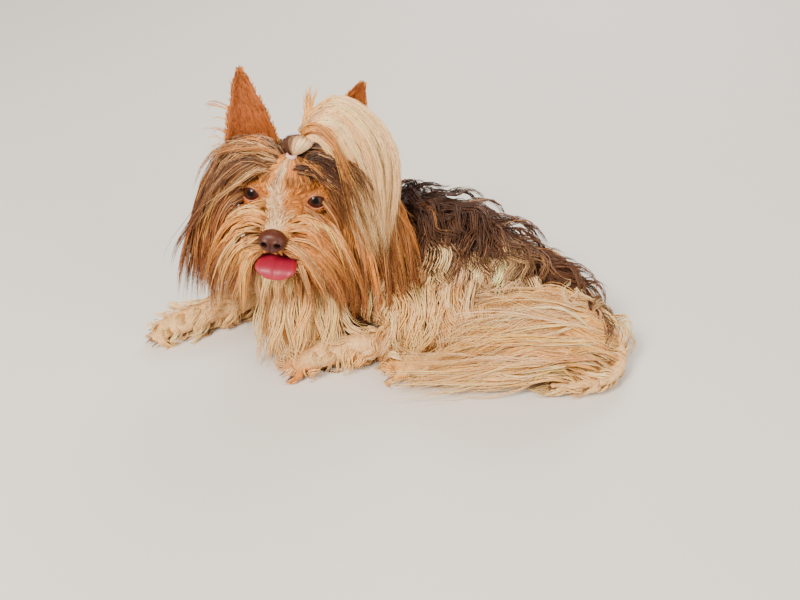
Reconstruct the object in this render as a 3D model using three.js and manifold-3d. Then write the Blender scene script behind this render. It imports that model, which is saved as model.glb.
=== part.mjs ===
// A small long-coated terrier, life size, lying down with its head turned towards the viewer.
// Millimetres, +Z up. The floor is z = 0, the viewer stands on the -Y side, and the body runs from
// the chest on the left (-X) to the rump and the curled tail on the right (+X).
// "Left" and "right" in names are the dog's own.
import * as THREE from "three";
import { mergeVertices } from "three/addons/utils/BufferGeometryUtils.js";
import Module from "manifold-3d";

const wasm = await Module();
wasm.setup();

const V = (x, y, z) => new THREE.Vector3(x, y, z);
const rad = THREE.MathUtils.degToRad;
const lerp = THREE.MathUtils.lerp;
const smooth = THREE.MathUtils.smoothstep;
const skyward = V(0, 0, 1);

// Driving dimensions
const gap = 0.35; // left between touching pieces
const floorClear = 0.5; // least height of a lock over the floor
const lockClear = 1.2; // least way from a lock to the pieces that it doesn't grow from
const sink = 3.5; // depth of a lock's root in what it grows from
const head = {
  centre: V(-95, -27, 116), // middle of the skull
  yaw: -5, // towards its right
  pitch: 12, // nose up
  roll: 4.5, // towards its left
  skull: V(28, 25, 30),
};
const eye = { side: 20.5, up: 2, forward: 17.6, radius: 7.2, outward: 20 };
const nose = { up: -14.5, forward: 53, size: V(9.2, 7.6, 7.4), nostril: 2.1 };
const mouth = { up: -27, forward: 46 };
const ear = { up: 24, forward: -2, tipUp: 77, tipForward: -6, halfWidth: 17 };
const earSides = { left: { side: 27, tipSide: 44 }, right: { side: 25, tipSide: 38 } }; // the left leans out
const band = { radius: 2.5, tube: 1.1 };

// The head's own directions, and a place given in them
const headTurn = new THREE.Quaternion()
  .setFromAxisAngle(V(0, 0, 1), rad(head.yaw))
  .multiply(new THREE.Quaternion().setFromAxisAngle(V(1, 0, 0), rad(-head.pitch)))
  .multiply(new THREE.Quaternion().setFromAxisAngle(V(0, 1, 0), rad(head.roll)));

const headWay = (left, up, forward) => V(left, -forward, up).applyQuaternion(headTurn);
const inHead = (left, up, forward) => headWay(left, up, forward).add(head.centre);
const headUp = headWay(0, 1, 0);
const headForward = headWay(0, 0, 1);

// A seeded draw, so that the coat is the same each time
function dice(seed) {
  let state = seed;
  return (low, high) => {
    state = (state + 0x6d2b79f5) | 0;
    let t = Math.imul(state ^ (state >>> 15), 1 | state);
    t = (t + Math.imul(t ^ (t >>> 7), 61 | t)) ^ t;
    return lerp(low, high, ((t ^ (t >>> 14)) >>> 0) / 4294967296);
  };
}

// Solids from three.js geometry
function solid(geometry, weld = 1e-4) {
  const bare = geometry.clone();
  for (const name of Object.keys(bare.attributes)) {
    if (name !== "position") bare.deleteAttribute(name);
  }
  const merged = mergeVertices(bare, weld);
  const vertProperties = merged.attributes.position.array;
  const triVerts = new Uint32Array(merged.index.array);
  const made = new wasm.Manifold(new wasm.Mesh({ numProp: 3, vertProperties, triVerts }));
  if (made.volume() > 0) return made;
  for (let i = 0; i < triVerts.length; i += 3) {
    [triVerts[i], triVerts[i + 1]] = [triVerts[i + 1], triVerts[i]];
  }
  return new wasm.Manifold(new wasm.Mesh({ numProp: 3, vertProperties, triVerts }));
}

function placed(geometry, centre, turn) {
  if (turn) geometry.applyQuaternion(turn);
  return solid(geometry.translate(centre.x, centre.y, centre.z));
}

function box(low, high) {
  const size = high.clone().sub(low);
  const middle = low.clone().add(high).multiplyScalar(0.5);
  return placed(new THREE.BoxGeometry(size.x, size.y, size.z), middle);
}

// Every piece is a function that makes its solid, grown by a given width, and carries a field:
// the height of a place over the piece's surface, less than zero inside.
function eggField(p, radii) {
  const near = Math.hypot(p.x / radii.x, p.y / radii.y, p.z / radii.z);
  const slope = Math.hypot(p.x / radii.x ** 2, p.y / radii.y ** 2, p.z / radii.z ** 2);
  return slope > 1e-6 ? (near * (near - 1)) / slope : -Math.min(radii.x, radii.y, radii.z);
}

const count = (n) => Array.from({ length: n }, (_, i) => i);
const fieldOf = (pieces) => (p) => Math.min(...pieces.map((piece) => piece.field(p)));

function outwards(field, p, step = 0.5) {
  const height = field(p);
  const slope = V(
    field(p.clone().add(V(step, 0, 0))) - height,
    field(p.clone().add(V(0, step, 0))) - height,
    field(p.clone().add(V(0, 0, step))) - height,
  );
  return slope.lengthSq() > 1e-9 ? slope.normalize() : skyward.clone();
}

// An egg: radii along its own axes, which turn with the given rotation
function ball(centre, radii, turn = null, detail = 2) {
  const make = (grow = 0) => {
    const egg = new THREE.IcosahedronGeometry(1, detail);
    return placed(egg.scale(radii.x + grow, radii.y + grow, radii.z + grow), centre, turn);
  };
  const back = turn ? turn.clone().invert() : new THREE.Quaternion();
  make.field = (p) => eggField(p.clone().sub(centre).applyQuaternion(back), radii);
  return make;
}

const headBall = (left, up, forward, radii, detail) =>
  ball(inHead(left, up, forward), V(radii.x, radii.z, radii.y), headTurn, detail);

// A rounded limb along a curve. Each stop holds its place, its half width and its half height.
const stop = (at, wide, tall = wide) => ({ at, wide, tall });

function limb(stops, { sides = 10, rows = 8, capRows = 2, upHint = skyward } = {}) {
  const curve = new THREE.CatmullRomCurve3(stops.map((s) => s.at));
  const share = (t, key) => {
    const place = Math.min(t * (stops.length - 1), stops.length - 1 - 1e-9);
    const i = Math.floor(place);
    return lerp(stops[i][key], stops[i + 1][key], smooth(place - i, 0, 1));
  };
  const frameAt = (t) => {
    const along = curve.getTangent(t);
    const side = along.clone().cross(upHint).normalize();
    const up = side.clone().cross(along).normalize();
    return { at: curve.getPoint(t), along, side, up, wide: share(t, "wide"), tall: share(t, "tall") };
  };
  const allRows = rows + 2 * capRows;
  const make = (grow = 0) => {
    const shape = new THREE.SphereGeometry(1, sides, allRows);
    const { position, uv } = shape.attributes;
    for (let i = 0; i < position.count; i++) {
      const row = Math.round((1 - uv.getY(i)) * allRows);
      const turn = Math.round(uv.getX(i) * sides) % sides;
      const cap = row < capRows ? capRows - row : Math.max(0, row - rows - capRows);
      const lean = (cap / capRows) * (Math.PI / 2);
      const f = frameAt(THREE.MathUtils.clamp((row - capRows) / rows, 0, 1));
      const round = cap === capRows ? 0 : Math.cos(lean);
      const wide = f.wide + grow;
      const tall = f.tall + grow;
      const reach = Math.min(wide, tall) * Math.sin(lean) * (row < capRows ? -1 : 1);
      const angle = ((turn + 0.5) / sides) * 2 * Math.PI;
      const p = f.at
        .addScaledVector(f.along, reach)
        .addScaledVector(f.side, wide * round * Math.cos(angle))
        .addScaledVector(f.up, tall * round * Math.sin(angle));
      position.setXYZ(i, p.x, p.y, p.z);
    }
    return solid(shape);
  };
  const samples = Array.from({ length: 4 * stops.length + 1 }, (_, i) => frameAt(i / (4 * stops.length)));
  make.field = (p) => {
    let least = Infinity;
    for (const f of samples) {
      const way = p.clone().sub(f.at);
      const local = V(way.dot(f.side), way.dot(f.along), way.dot(f.up));
      least = Math.min(least, eggField(local, V(f.wide, Math.min(f.wide, f.tall), f.tall)));
    }
    return least;
  };
  make.frameAt = frameAt;
  // A place on the surface: share of the length, and angle from its side over its top
  make.surface = (t, degrees) => {
    const f = frameAt(t);
    const across = f.side.clone().multiplyScalar(f.wide * Math.cos(rad(degrees)));
    const over = f.up.clone().multiplyScalar(f.tall * Math.sin(rad(degrees)));
    return { at: f.at.clone().add(across).add(over), along: f.along };
  };
  return make;
}

// Kinks in a path are drawn out, its two ends kept
function eased(path, rounds = 3) {
  for (let round = 0; round < rounds; round++) {
    const before = path.map((q) => q.at.clone());
    for (let i = 1; i < path.length - 1; i++) {
      path[i].at.multiplyScalar(2).add(before[i - 1]).add(before[i + 1]).multiplyScalar(0.25);
    }
  }
  return path;
}

// A flat, tapered lock along a path: broad below, with a ridge along its outer face.
// Each place on the path has its point and the way it faces.
function lock(path, halfWidth, halfThick, rows = 5) {
  const line = new THREE.CatmullRomCurve3(eased(path).map((q) => q.at));
  const faces = new THREE.CatmullRomCurve3(path.map((q) => q.face));
  return (grow = 0) => {
    const shape = new THREE.SphereGeometry(1, 3, rows);
    const { position, uv } = shape.attributes;
    for (let i = 0; i < position.count; i++) {
      const row = Math.round((1 - uv.getY(i)) * rows);
      const corner = Math.round(uv.getX(i) * 3) % 3;
      const t = row / rows;
      const along = line.getTangent(t);
      const side = along.clone().cross(faces.getPoint(t)).normalize();
      const face = side.clone().cross(along);
      const end = row === 0 || row === rows;
      const swell = end ? 0 : Math.sin(Math.PI * t ** 0.62) ** 0.75;
      const wide = end ? 0 : halfWidth * swell + 1.6 * grow;
      const thick = end ? 0 : halfThick * Math.sqrt(swell);
      const below = -0.6 * thick - grow;
      const ridge = thick + 1.2 * grow;
      const p = line
        .getPoint(t)
        .addScaledVector(side, [wide, 0, -wide][corner])
        .addScaledVector(face, end ? 0 : [below, ridge, below][corner])
        .addScaledVector(along, row === 0 ? -3 * grow : row === rows ? 3 * grow : 0);
      position.setXYZ(i, p.x, p.y, p.z);
    }
    return solid(shape);
  };
}

// A lock that is combed from its root over the surface it grows from. It leaves the root sunk,
// rises to its lift, turns towards the floor by its fall, and keeps clear of the other pieces.
function combed(root, way, look) {
  const { length, width, thick, over, lift = 4, fall = 1, cling = 0.6, clear = [], wave = 0 } = look;
  const { waves = 1.25, phase = 0, rows = 5, clearance = lockClear } = look;
  const steps = 9;
  const at = root.clone();
  const go = way.clone().normalize();
  const path = [];
  for (let i = 0; i <= steps; i++) {
    const t = i / steps;
    const face = outwards(over, at, 1);
    const base = 0.6 * thick + 0.6;
    const want = lerp(-sink, base, smooth(t, 0, 0.22)) + (lift - base) * t;
    const rise = want - over(at);
    at.addScaledVector(face, rise > 0 || i < 2 ? rise : rise * cling);
    for (const other of clear) {
      const room = clearance + thick - other(at);
      if (room > 0) at.addScaledVector(outwards(other, at, 1), room);
    }
    at.z = Math.max(at.z, floorClear + thick * 1.3);
    const side = go.clone().cross(face).normalize();
    const sway = wave * smooth(t, 0.1, 0.5) * Math.sin(2 * Math.PI * (waves * t + phase));
    path.push({ at: at.clone().addScaledVector(side, sway), face });
    go.z -= (fall * 1.6) / steps;
    if (rise > -6) go.addScaledVector(face, -go.dot(face) * cling);
    go.normalize();
    at.addScaledVector(go, length / steps);
  }
  return lock(path, width, thick, rows);
}

// A lock that hangs from its root to a given tip, bowed aside, and rests on what lies between
function hung(root, tip, look) {
  const { width, thick, over, bow = V(0, 0, 0), clear = [], clearance = lockClear, wave = 0 } = look;
  const { waves = 1, phase = 0, rows = 5, lift = 3 } = look;
  const line = new THREE.QuadraticBezierCurve3(root, root.clone().lerp(tip, 0.4).add(bow), tip);
  const steps = 8;
  const path = count(steps + 1).map((i) => {
    const t = i / steps;
    const at = line.getPoint(t);
    const face = outwards(over, at, 1);
    const rise = lerp(-sink, lift, smooth(t, 0, 0.25)) - over(at);
    if (rise > 0 || i === 0) at.addScaledVector(face, rise);
    for (const other of clear) {
      const room = clearance + thick - other(at);
      if (room > 0) at.addScaledVector(outwards(other, at, 1), room);
    }
    at.z = Math.max(at.z, floorClear + thick * 1.3);
    const side = line.getTangent(t).cross(face).normalize();
    const sway = wave * smooth(t, 0.1, 0.5) * Math.sin(2 * Math.PI * (waves * t + phase));
    return { at: at.addScaledVector(side, sway), face };
  });
  return lock(path, width, thick, rows);
}

const through = (places) => new THREE.CatmullRomCurve3(places);

// Joining and cutting
function largest(made) {
  const bodies = made.decompose();
  bodies.sort((a, b) => b.volume() - a.volume());
  return bodies[0];
}

// A node's mesh: its largest closed surface, with corners on a fine grid, so that those that
// nearly touch become one
const grid = 0.001;

function meshOf(made) {
  const { vertProperties, triVerts } = made.getMesh();
  const shape = new THREE.BufferGeometry();
  const snapped = vertProperties.map((value) => Math.round(value / grid) * grid);
  shape.setAttribute("position", new THREE.BufferAttribute(snapped, 3));
  return shape.setIndex(new THREE.BufferAttribute(triVerts, 1));
}

const welded = (made) => largest(solid(meshOf(largest(made)).toNonIndexed(), grid));

const fused = (pieces, grow = 0) => wasm.Manifold.union(pieces.map((piece) => piece(grow)));

// Flesh, from the body to the paws. The coat below the locks is part of it.
const spine = limb([
  stop(V(-82, -24, 46), 24, 31),
  stop(V(-60, -13, 49), 34, 46),
  stop(V(-24, -2, 51), 39, 53),
  stop(V(10, -6, 49), 39, 51),
  stop(V(44, -24, 43), 36, 45),
  stop(V(74, -41, 37), 32, 38),
  stop(V(97, -52, 31), 24, 29),
], { sides: 12, rows: 8 });

const neckLimb = limb([
  stop(V(-50, -10, 74), 31, 28),
  stop(V(-72, -17, 90), 29, 26),
  stop(inHead(2, -10, -14), 22, 21),
], { rows: 3 });
const chest = limb([
  stop(V(-84, -28, 84), 26, 22),
  stop(V(-92, -34, 62), 27, 22),
  stop(V(-90, -34, 40), 25, 20),
], { rows: 3, upHint: V(0, 1, 0) });

function toe(at) {
  const make = (grow = 0) => {
    const shape = new THREE.SphereGeometry(1, 6, 4).rotateX(Math.PI / 2);
    return placed(shape.scale(4.6 + grow, 4.6 + grow, 5.6 + grow), at);
  };
  make.field = (p) => p.distanceTo(at) - 4.6;
  return make;
}

// Each leg: upper part, lower part, paw and toes
function leg(upper, lower, paw, toeSide) {
  const tip = paw[paw.length - 1];
  const ahead = tip.at.clone().sub(paw[0].at).setZ(0).normalize();
  const across = ahead.clone().cross(skyward);
  const toes = [-1.5, -0.5, 0.5, 1.5].map((k) =>
    toe(
      tip.at
        .clone()
        .addScaledVector(across, k * 5.6)
        .addScaledVector(ahead, 8 - Math.abs(k) * 3 + toeSide * k)
        .setZ(5.6),
    ),
  );
  return [
    limb(upper, { rows: 3, sides: 8, capRows: 1 }),
    limb(lower, { rows: 3, sides: 8, capRows: 1 }),
    limb(paw, { rows: 3, sides: 8, capRows: 1 }),
    ...toes,
  ];
}

const legs = {
  foreleg_left: leg(
    [stop(V(-44, -34, 52), 17, 19), stop(V(-26, -52, 36), 14, 16), stop(V(-8, -60, 22), 12, 13)],
    [stop(V(-8, -60, 20), 14, 14), stop(V(-40, -68, 16), 13, 13.5), stop(V(-66, -72, 13), 12, 12)],
    [stop(V(-66, -72, 13), 12, 12), stop(V(-80, -76, 11), 13.5, 10.5), stop(V(-92, -80, 9), 12, 9)],
    0.6,
  ),
  foreleg_right: leg(
    [stop(V(-84, -2, 52), 18, 20), stop(V(-98, 2, 36), 15, 17), stop(V(-112, 2, 22), 13, 14)],
    [stop(V(-112, 2, 20), 15, 15), stop(V(-142, -18, 17), 14, 14.5), stop(V(-168, -32, 13), 12, 12)],
    [stop(V(-168, -32, 13), 12, 12), stop(V(-182, -38, 11), 13.5, 10.5), stop(V(-193, -43, 9), 12, 9)],
    -0.6,
  ),
  hindleg_left: leg(
    [stop(V(76, -54, 42), 20, 23), stop(V(54, -62, 36), 20, 23), stop(V(34, -68, 28), 14, 17)],
    [stop(V(36, -70, 25), 13, 14), stop(V(52, -78, 16), 10, 10), stop(V(62, -80, 11), 9, 9)],
    [
      stop(V(62, -80, 11), 10, 10),
      stop(V(20, -83, 11), 11, 11),
      stop(V(-8, -83, 10), 12, 10),
      stop(V(-20, -82, 8.5), 12, 8.5),
    ],
    0.4,
  ),
  hindleg_right: leg(
    [stop(V(84, -28, 34), 20, 22), stop(V(74, -4, 29), 19, 22), stop(V(56, 14, 25), 14, 17)],
    [stop(V(56, 15, 23), 13, 14), stop(V(70, 18, 14), 10, 10), stop(V(76, 17, 11), 9, 9)],
    [stop(V(76, 18, 11), 10, 10), stop(V(46, 29, 10.5), 10.5, 10.5), stop(V(14, 38, 8.5), 12, 8.5)],
    -0.4,
  ),
};

const tailBone = limb([
  stop(V(104, -56, 36), 11, 11),
  stop(V(122, -66, 27), 9, 9),
  stop(V(131, -82, 17), 8, 8),
  stop(V(122, -98, 12), 7, 7),
  stop(V(98, -104, 10), 6, 6),
  stop(V(72, -103, 9), 4, 4),
], { rows: 10, sides: 8 });

// Head
const skull = headBall(0, 0, 0, head.skull);
const eyeSurrounds = [-1, 1].map((s) => headBall(s * 20, 2, 13, V(12.5, 12.5, 10), 1));
const forehead = headBall(0, 8, 13, V(22, 16, 16), 1);
const pulledHair = headBall(2, 18, 12, V(14, 9, 12), 1);
const cheeks = [-1, 1].map((s) => headBall(17 * s, -10, 10, V(13, 15, 15), 1));
const sideCoat = [-1, 1].map((s) => headBall(25 * s, -8, -4, V(13, 22, 16), 1));
const muzzle = limb([
  stop(inHead(0, -12, 16), 17, 14),
  stop(inHead(0, -15, 34), 12.5, 11.5),
  stop(inHead(0, -16.5, 47), 10, 9.5),
], { rows: 5, upHint: headUp });
const upperLips = [-1, 1].map((s) => headBall(6.5 * s, -21, 41, V(7, 6.5, 11), 1));
const lowerJaw = limb([
  stop(inHead(0, -28, 12), 14, 9),
  stop(inHead(0, -34, 32), 9.5, 5.5),
  stop(inHead(0, -36, 43), 7.5, 4.6),
], { rows: 4, sides: 8, upHint: headUp });

const eyeball = (s) =>
  ball(inHead(s * eye.side, eye.up, eye.forward), V(eye.radius, eye.radius, eye.radius));

// The lids are an almond ring that looks outwards and holds the eyeball in its socket
function lids(s) {
  const look = V(Math.sin(rad(s * eye.outward)), 0, Math.cos(rad(eye.outward))).multiplyScalar(4.6);
  const centre = inHead(s * eye.side + look.x, eye.up, eye.forward + look.z);
  const turn = headTurn
    .clone()
    .multiply(new THREE.Quaternion().setFromAxisAngle(V(0, 0, 1), rad(s * eye.outward)))
    .multiply(new THREE.Quaternion().setFromAxisAngle(V(1, 0, 0), rad(90)));
  return (grow = 0) =>
    placed(new THREE.TorusGeometry(6.2, 1.5 + grow, 4, 12).scale(1.05, 0.82, 1), centre, turn);
}

const noseLeather = headBall(0, nose.up, nose.forward, nose.size);
const nostrils = [-1, 1].map((s) =>
  headBall(s * 4.4, nose.up - 1.6, nose.forward + 6.2, V(nose.nostril * 1.1, nose.nostril * 0.9, 3.6), 0),
);
const noseShape = (grow = 0) =>
  grow ? noseLeather(grow) : noseLeather(0).subtract(fused(nostrils));

const tongueLimb = limb([
  stop(inHead(2, mouth.up - 3.5, 32), 8, 1.8),
  stop(inHead(2, mouth.up - 3.5, 45), 12, 2.2),
  stop(inHead(2, mouth.up - 6.5, 54), 12.5, 2.2),
  stop(inHead(2, mouth.up - 12, 57.5), 9.5, 1.9),
], { rows: 5, sides: 8, capRows: 1, upHint: headUp });

// Hair bands round the topknot's two ends
const bandFront = inHead(3, 30, 17);
const bandBack = inHead(8, 41, 7);

function hairBand(at, axis) {
  const turn = new THREE.Quaternion().setFromUnitVectors(skyward, axis.clone().normalize());
  return (grow = 0) => placed(new THREE.TorusGeometry(band.radius, band.tube + grow, 4, 8), at, turn);
}

// Ears: an outer leaf with a smaller leaf cut from its front, which leaves the cup
function earLeaf(s, scale, forwardShift, lift) {
  const { side, tipSide } = s > 0 ? earSides.left : earSides.right;
  const base = inHead(s * side, ear.up - 4 + lift, ear.forward + forwardShift);
  const tipUp = lerp(ear.up, ear.tipUp, 0.5 + scale / 2);
  const tip = inHead(s * tipSide, tipUp, ear.tipForward + forwardShift);
  const along = tip.clone().sub(base);
  const upHint = headForward.clone().applyAxisAngle(along.clone().normalize(), rad(-18 * s));
  const stops = [1, 0.95, 0.74, 0.44, 0.08].map((w, i) => {
    const at = base.clone().addScaledVector(along, i / 4);
    return stop(at, ear.halfWidth * w * scale, lerp(8.5, 1.6, i / 4) * scale);
  });
  return limb(stops, { rows: 5, sides: 10, capRows: 1, upHint });
}

function earShape(s) {
  const leaf = earLeaf(s, 1, 0, 0);
  const cup = earLeaf(s, 0.84, 5.4, 3);
  const make = (grow = 0) => (grow ? leaf(grow) : leaf(0).subtract(cup(0)));
  make.field = leaf.field;
  return make;
}

// Fields that the coat is combed over, and keeps clear of
const skin = {
  head: fieldOf([skull, forehead, pulledHair, ...cheeks, ...eyeSurrounds, ...sideCoat, muzzle, lowerJaw]),
  ears: fieldOf([earLeaf(1, 1, 0, 0), earLeaf(-1, 1, 0, 0)]),
  neck: fieldOf([neckLimb, chest]),
  torso: spine.field,
  forelegs: fieldOf([...legs.foreleg_left, ...legs.foreleg_right]),
  hindlegs: fieldOf([...legs.hindleg_left, ...legs.hindleg_right]),
  tail: tailBone.field,
  tongue: tongueLimb.field,
  nose: noseLeather.field,
  eyes: fieldOf([eyeball(-1), eyeball(1)]),
};
const bodyFields = [skin.torso, skin.neck, skin.forelegs];

// Coat of the head
const draw = dice(7);
const coated = ["head", "ear_left", "ear_right", "topknot", "ponytail", "neck", "torso", "tail"];
const locks = Object.fromEntries([...coated, ...Object.keys(legs)].map((name) => [name, []]));

const faceClear = [skin.tongue, skin.nose];
// Where the tips hang, from the face round to the back of the head
const curtainTips = {
  left: through([V(-58, -72, 40), V(-36, -64, 16), V(-9, -54, 40), V(-8, -34, 76), V(-26, -12, 98)]),
  right: through([V(-130, -70, 34), V(-148, -60, 26), V(-168, -44, 50), V(-170, -22, 66), V(-152, 2, 76)]),
};
const whiskerTips = {
  left: through([V(-82, -86, 72), V(-70, -80, 60), V(-57, -70, 68), V(-50, -60, 86)]),
  right: through([V(-114, -87, 70), V(-128, -80, 58), V(-144, -67, 68), V(-152, -56, 86)]),
};
for (const [side, s] of [["left", 1], ["right", -1]]) {
  // Moustache, from beside the nose back to the cheek
  for (const i of count(5)) {
    const u = i / 4;
    const root = inHead(s * lerp(6, 18, u), lerp(-19, -10, u), lerp(46, 22, u));
    const tip = whiskerTips[side].getPoint(u).add(V(0, 0, draw(-4, 4)));
    locks.head.push(
      hung(root, tip, {
        width: 7,
        thick: 2,
        over: skin.head,
        bow: headWay(s * 14, 6, 6),
        clear: [...faceClear, skin.neck],
        wave: 1.5,
        phase: draw(0, 1),
      }),
    );
  }
  // Below the eye, over the cheek
  for (const i of count(3)) {
    const u = i / 2;
    locks.head.push(
      combed(inHead(s * lerp(12, 27, u), lerp(-7, -4, u), lerp(27, 15, u)), headWay(s, -0.8, 0), {
        length: lerp(40, 48, u),
        width: 5.6,
        thick: 1.8,
        over: skin.head,
        lift: 4,
        fall: 0.8,
        cling: 0.5,
        clear: [skin.eyes, ...faceClear],
      }),
    );
  }
  // Curtains: from the crown and the ear's root down past the jaw
  const roots = through([
    inHead(s * 26, 2, 18),
    inHead(s * 27, 12, 8),
    inHead(s * 28, 12, -8),
    inHead(s * 20, 14, -20),
  ]);
  for (const i of count(8)) {
    const u = i / 7;
    const outer = i % 2;
    const root = roots.getPoint(u);
    const tip = curtainTips[side].getPoint(u).add(V(0, 0, outer ? 0 : 9));
    locks.head.push(
      hung(root, tip, {
        width: 8,
        thick: 2.4,
        over: skin.head,
        bow: V(s * (outer ? 18 : 12), -3, outer ? 20 : 10),
        lift: outer ? 7 : 4,
        clear: [skin.ears, ...bodyFields],
        clearance: 4,
        wave: 2,
        phase: draw(0, 1),
      }),
    );
  }
  // Crown, combed back from the band's sides over the nape
  for (const i of count(3)) {
    locks.head.push(
      combed(inHead(s * lerp(5, 17, i / 2), 22 - 2 * i, -6 - 4 * (i % 2)), headWay(s * 0.5, 0, -1), {
        length: 56 + draw(-6, 6),
        width: 7.5,
        thick: 2,
        over: skin.head,
        lift: 3.5,
        fall: 0.9,
        cling: 0.6,
        clear: [skin.ears, skin.neck, skin.torso],
      }),
    );
  }
}
// Beard, from the chin
for (const i of count(5)) {
  const u = i / 2 - 1;
  locks.head.push(
    hung(inHead(u * 7, -36, 38 - 8 * (i % 2)), V(-98 + 15 * u, -84 + 4 * Math.abs(u), 56 + 5 * (i % 2)), {
      width: 5.6,
      thick: 2,
      over: skin.head,
      bow: V(4 * u, -6, -4),
      clear: [skin.tongue, skin.neck],
      wave: 1.4,
      phase: draw(0, 1),
    }),
  );
}
// Forehead, pulled up into the front band
for (const i of count(5)) {
  const u = i / 4 - 0.5;
  const from = inHead(u * 36 + 2, 11 - 10 * u * u, 27 - 26 * u * u);
  const path = count(6).map((k) => {
    const at = from.clone().lerp(bandFront, k / 5);
    const face = outwards(skin.head, at, 1);
    const want = lerp(-2.5, 2.4, smooth(k / 5, 0, 0.5));
    return { at: at.addScaledVector(face, k < 5 ? Math.max(want - skin.head(at), -2) : 0), face };
  });
  locks.head.push(lock(path, 5, 1.7, 4));
}

// Topknot: the bundle through both bands, with its loop between them
locks.topknot.push(
  limb([
    stop(inHead(2.6, 22, 17), 3.4, 3.4),
    stop(bandFront, 3, 3),
    stop(inHead(5.6, 38, 14.5), 8, 6),
    stop(bandBack, 3, 3),
  ], { rows: 6, sides: 6, capRows: 1, upHint: headForward }),
);
// Ponytail: over its peak and down before the left ear, spread like a fan
const ponytailLine = limb([
  stop(bandBack, 2.4, 2.4),
  stop(V(-77, -24, 173), 5, 3.4),
  stop(V(-63, -25, 179), 9, 4),
  stop(V(-47, -30, 163), 15, 4.4),
  stop(V(-38, -38, 136), 19, 4.6),
  stop(V(-34, -46, 108), 20, 4),
], { rows: 9, sides: 8, capRows: 1, upHint: V(0.4, -1, 0.3) });
const stalk = limb([
  stop(bandBack, 2.6, 2.6),
  stop(V(-77, -24, 173), 5.4, 3.6),
  stop(V(-63, -25, 179), 9, 3),
], { rows: 4, sides: 8, capRows: 1, upHint: V(0.4, -1, 0.3) });
locks.ponytail.push(stalk);
for (const i of count(7)) {
  const u = i / 3 - 1;
  const share = (u + 1) / 2;
  const last = V(lerp(-46, -26, share), lerp(-61, -53, share), lerp(68, 86, Math.abs(u)) + draw(-5, 5));
  const path = count(7).map((k) => {
    const f = ponytailLine.frameAt(Math.min(lerp(0.22, 1.15, k / 6), 1));
    const at = f.at
      .clone()
      .addScaledVector(f.side, -u * f.wide * 0.95)
      .addScaledVector(f.up, i % 2 ? 4.4 * smooth(k, 0, 1) : -0.6);
    return { at: k > 5 ? last : at, face: f.up };
  });
  locks.ponytail.push(lock(path, 6.8, 2, 6));
}
// A wisp that stands up from the back band
const wispPath = [bandBack, V(-77, -24, 172), V(-72, -23, 183), V(-67, -22, 193)];
locks.ponytail.push(lock(wispPath.map((at) => ({ at, face: headForward })), 2.6, 1.6, 5));

// Tufts on each ear's outer edge and before its cup
for (const s of [1, -1]) {
  const name = s > 0 ? "ear_left" : "ear_right";
  const over = earLeaf(s, 1, 0, 0).field;
  for (const i of count(2)) {
    locks[name].push(
      combed(inHead(s * (38 - i), 28 + 11 * i, 2 - 2 * i), headWay(s, 0.2, 0.1), {
        length: 26 + draw(-3, 3),
        width: 3.6,
        thick: 1.5,
        over,
        lift: 3,
        fall: 1.4,
        cling: 0.1,
        wave: 0.8,
        phase: draw(0, 1),
        rows: 4,
      }),
    );
  }
}

// Chest and throat
for (const i of count(10)) {
  const u = (i % 5) / 2 - 1;
  const row = Math.floor(i / 5);
  locks.neck.push(
    combed(V(-92 + 22 * u, -52 + 10 * Math.abs(u), 84 - 26 * row), V(u * 0.6, -0.4, -1), {
      length: 42 + draw(-4, 4),
      width: 7.4,
      thick: 1.9,
      over: skin.neck,
      lift: 5,
      fall: 1,
      cling: 0.4,
      clear: [skin.forelegs, skin.head],
      wave: 2,
      phase: draw(0, 1),
    }),
  );
}
// Nape
for (const i of count(4)) {
  const u = i / 3;
  locks.neck.push(
    combed(neckLimb.surface(0.3, lerp(35, 160, u)).at, V(0.8, lerp(-0.6, 0.7, u), -0.2), {
      length: 42,
      width: 6.5,
      thick: 1.9,
      over: skin.neck,
      lift: 4,
      fall: 0.9,
      cling: 0.7,
      clear: [skin.torso, skin.head],
      wave: 2,
      phase: draw(0, 1),
    }),
  );
}

// Body: wavy locks from the spine down both sides, tier over tier
for (const i of count(28)) {
  const ring = Math.floor(i / 7);
  const u = ((i % 7) + 0.5 * (ring % 2)) / 6.5;
  const place = spine.surface(lerp(0.2, 0.86, ring / 3), lerp(-6, 186, u));
  locks.torso.push(
    combed(place.at, place.along.clone().add(V(0, 0, -0.3)), {
      length: 56 + draw(-5, 5),
      width: 9.4,
      thick: 2.8,
      over: skin.torso,
      lift: 7,
      fall: 0.9,
      cling: 0.75,
      clear: [skin.hindlegs, skin.forelegs, skin.neck, skin.tail],
      wave: 3,
      waves: 1.1,
      phase: draw(0, 1),
    }),
  );
}

// Legs: feathering from the upper leg down to the paw
function feather(name, t, degrees, length, lower) {
  const part = legs[name][lower ? 1 : 0];
  const over = fieldOf(legs[name]);
  const place = part.surface(t, degrees);
  locks[name].push(
    combed(place.at, place.along.clone().multiplyScalar(0.8).add(V(0, -0.2, -0.5)), {
      length,
      width: 7,
      thick: 2.1,
      over,
      lift: 4,
      fall: 0.8,
      cling: 0.6,
      clear: [name.startsWith("hind") ? skin.tail : skin.head],
      wave: 2,
      phase: draw(0, 1),
    }),
  );
}
const outerSides = { foreleg_left: 0, foreleg_right: 180, hindleg_left: 180, hindleg_right: 0 };
for (const [name, outer] of Object.entries(outerSides)) {
  for (const i of count(5)) {
    const lower = i > 2;
    const angle = outer + (outer ? -1 : 1) * lerp(5, 105, (i % 3) / 2);
    feather(name, lower ? 0.3 : 0.1 + 0.2 * (i % 2), angle, lower ? 34 : 42, lower);
  }
}

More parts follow.
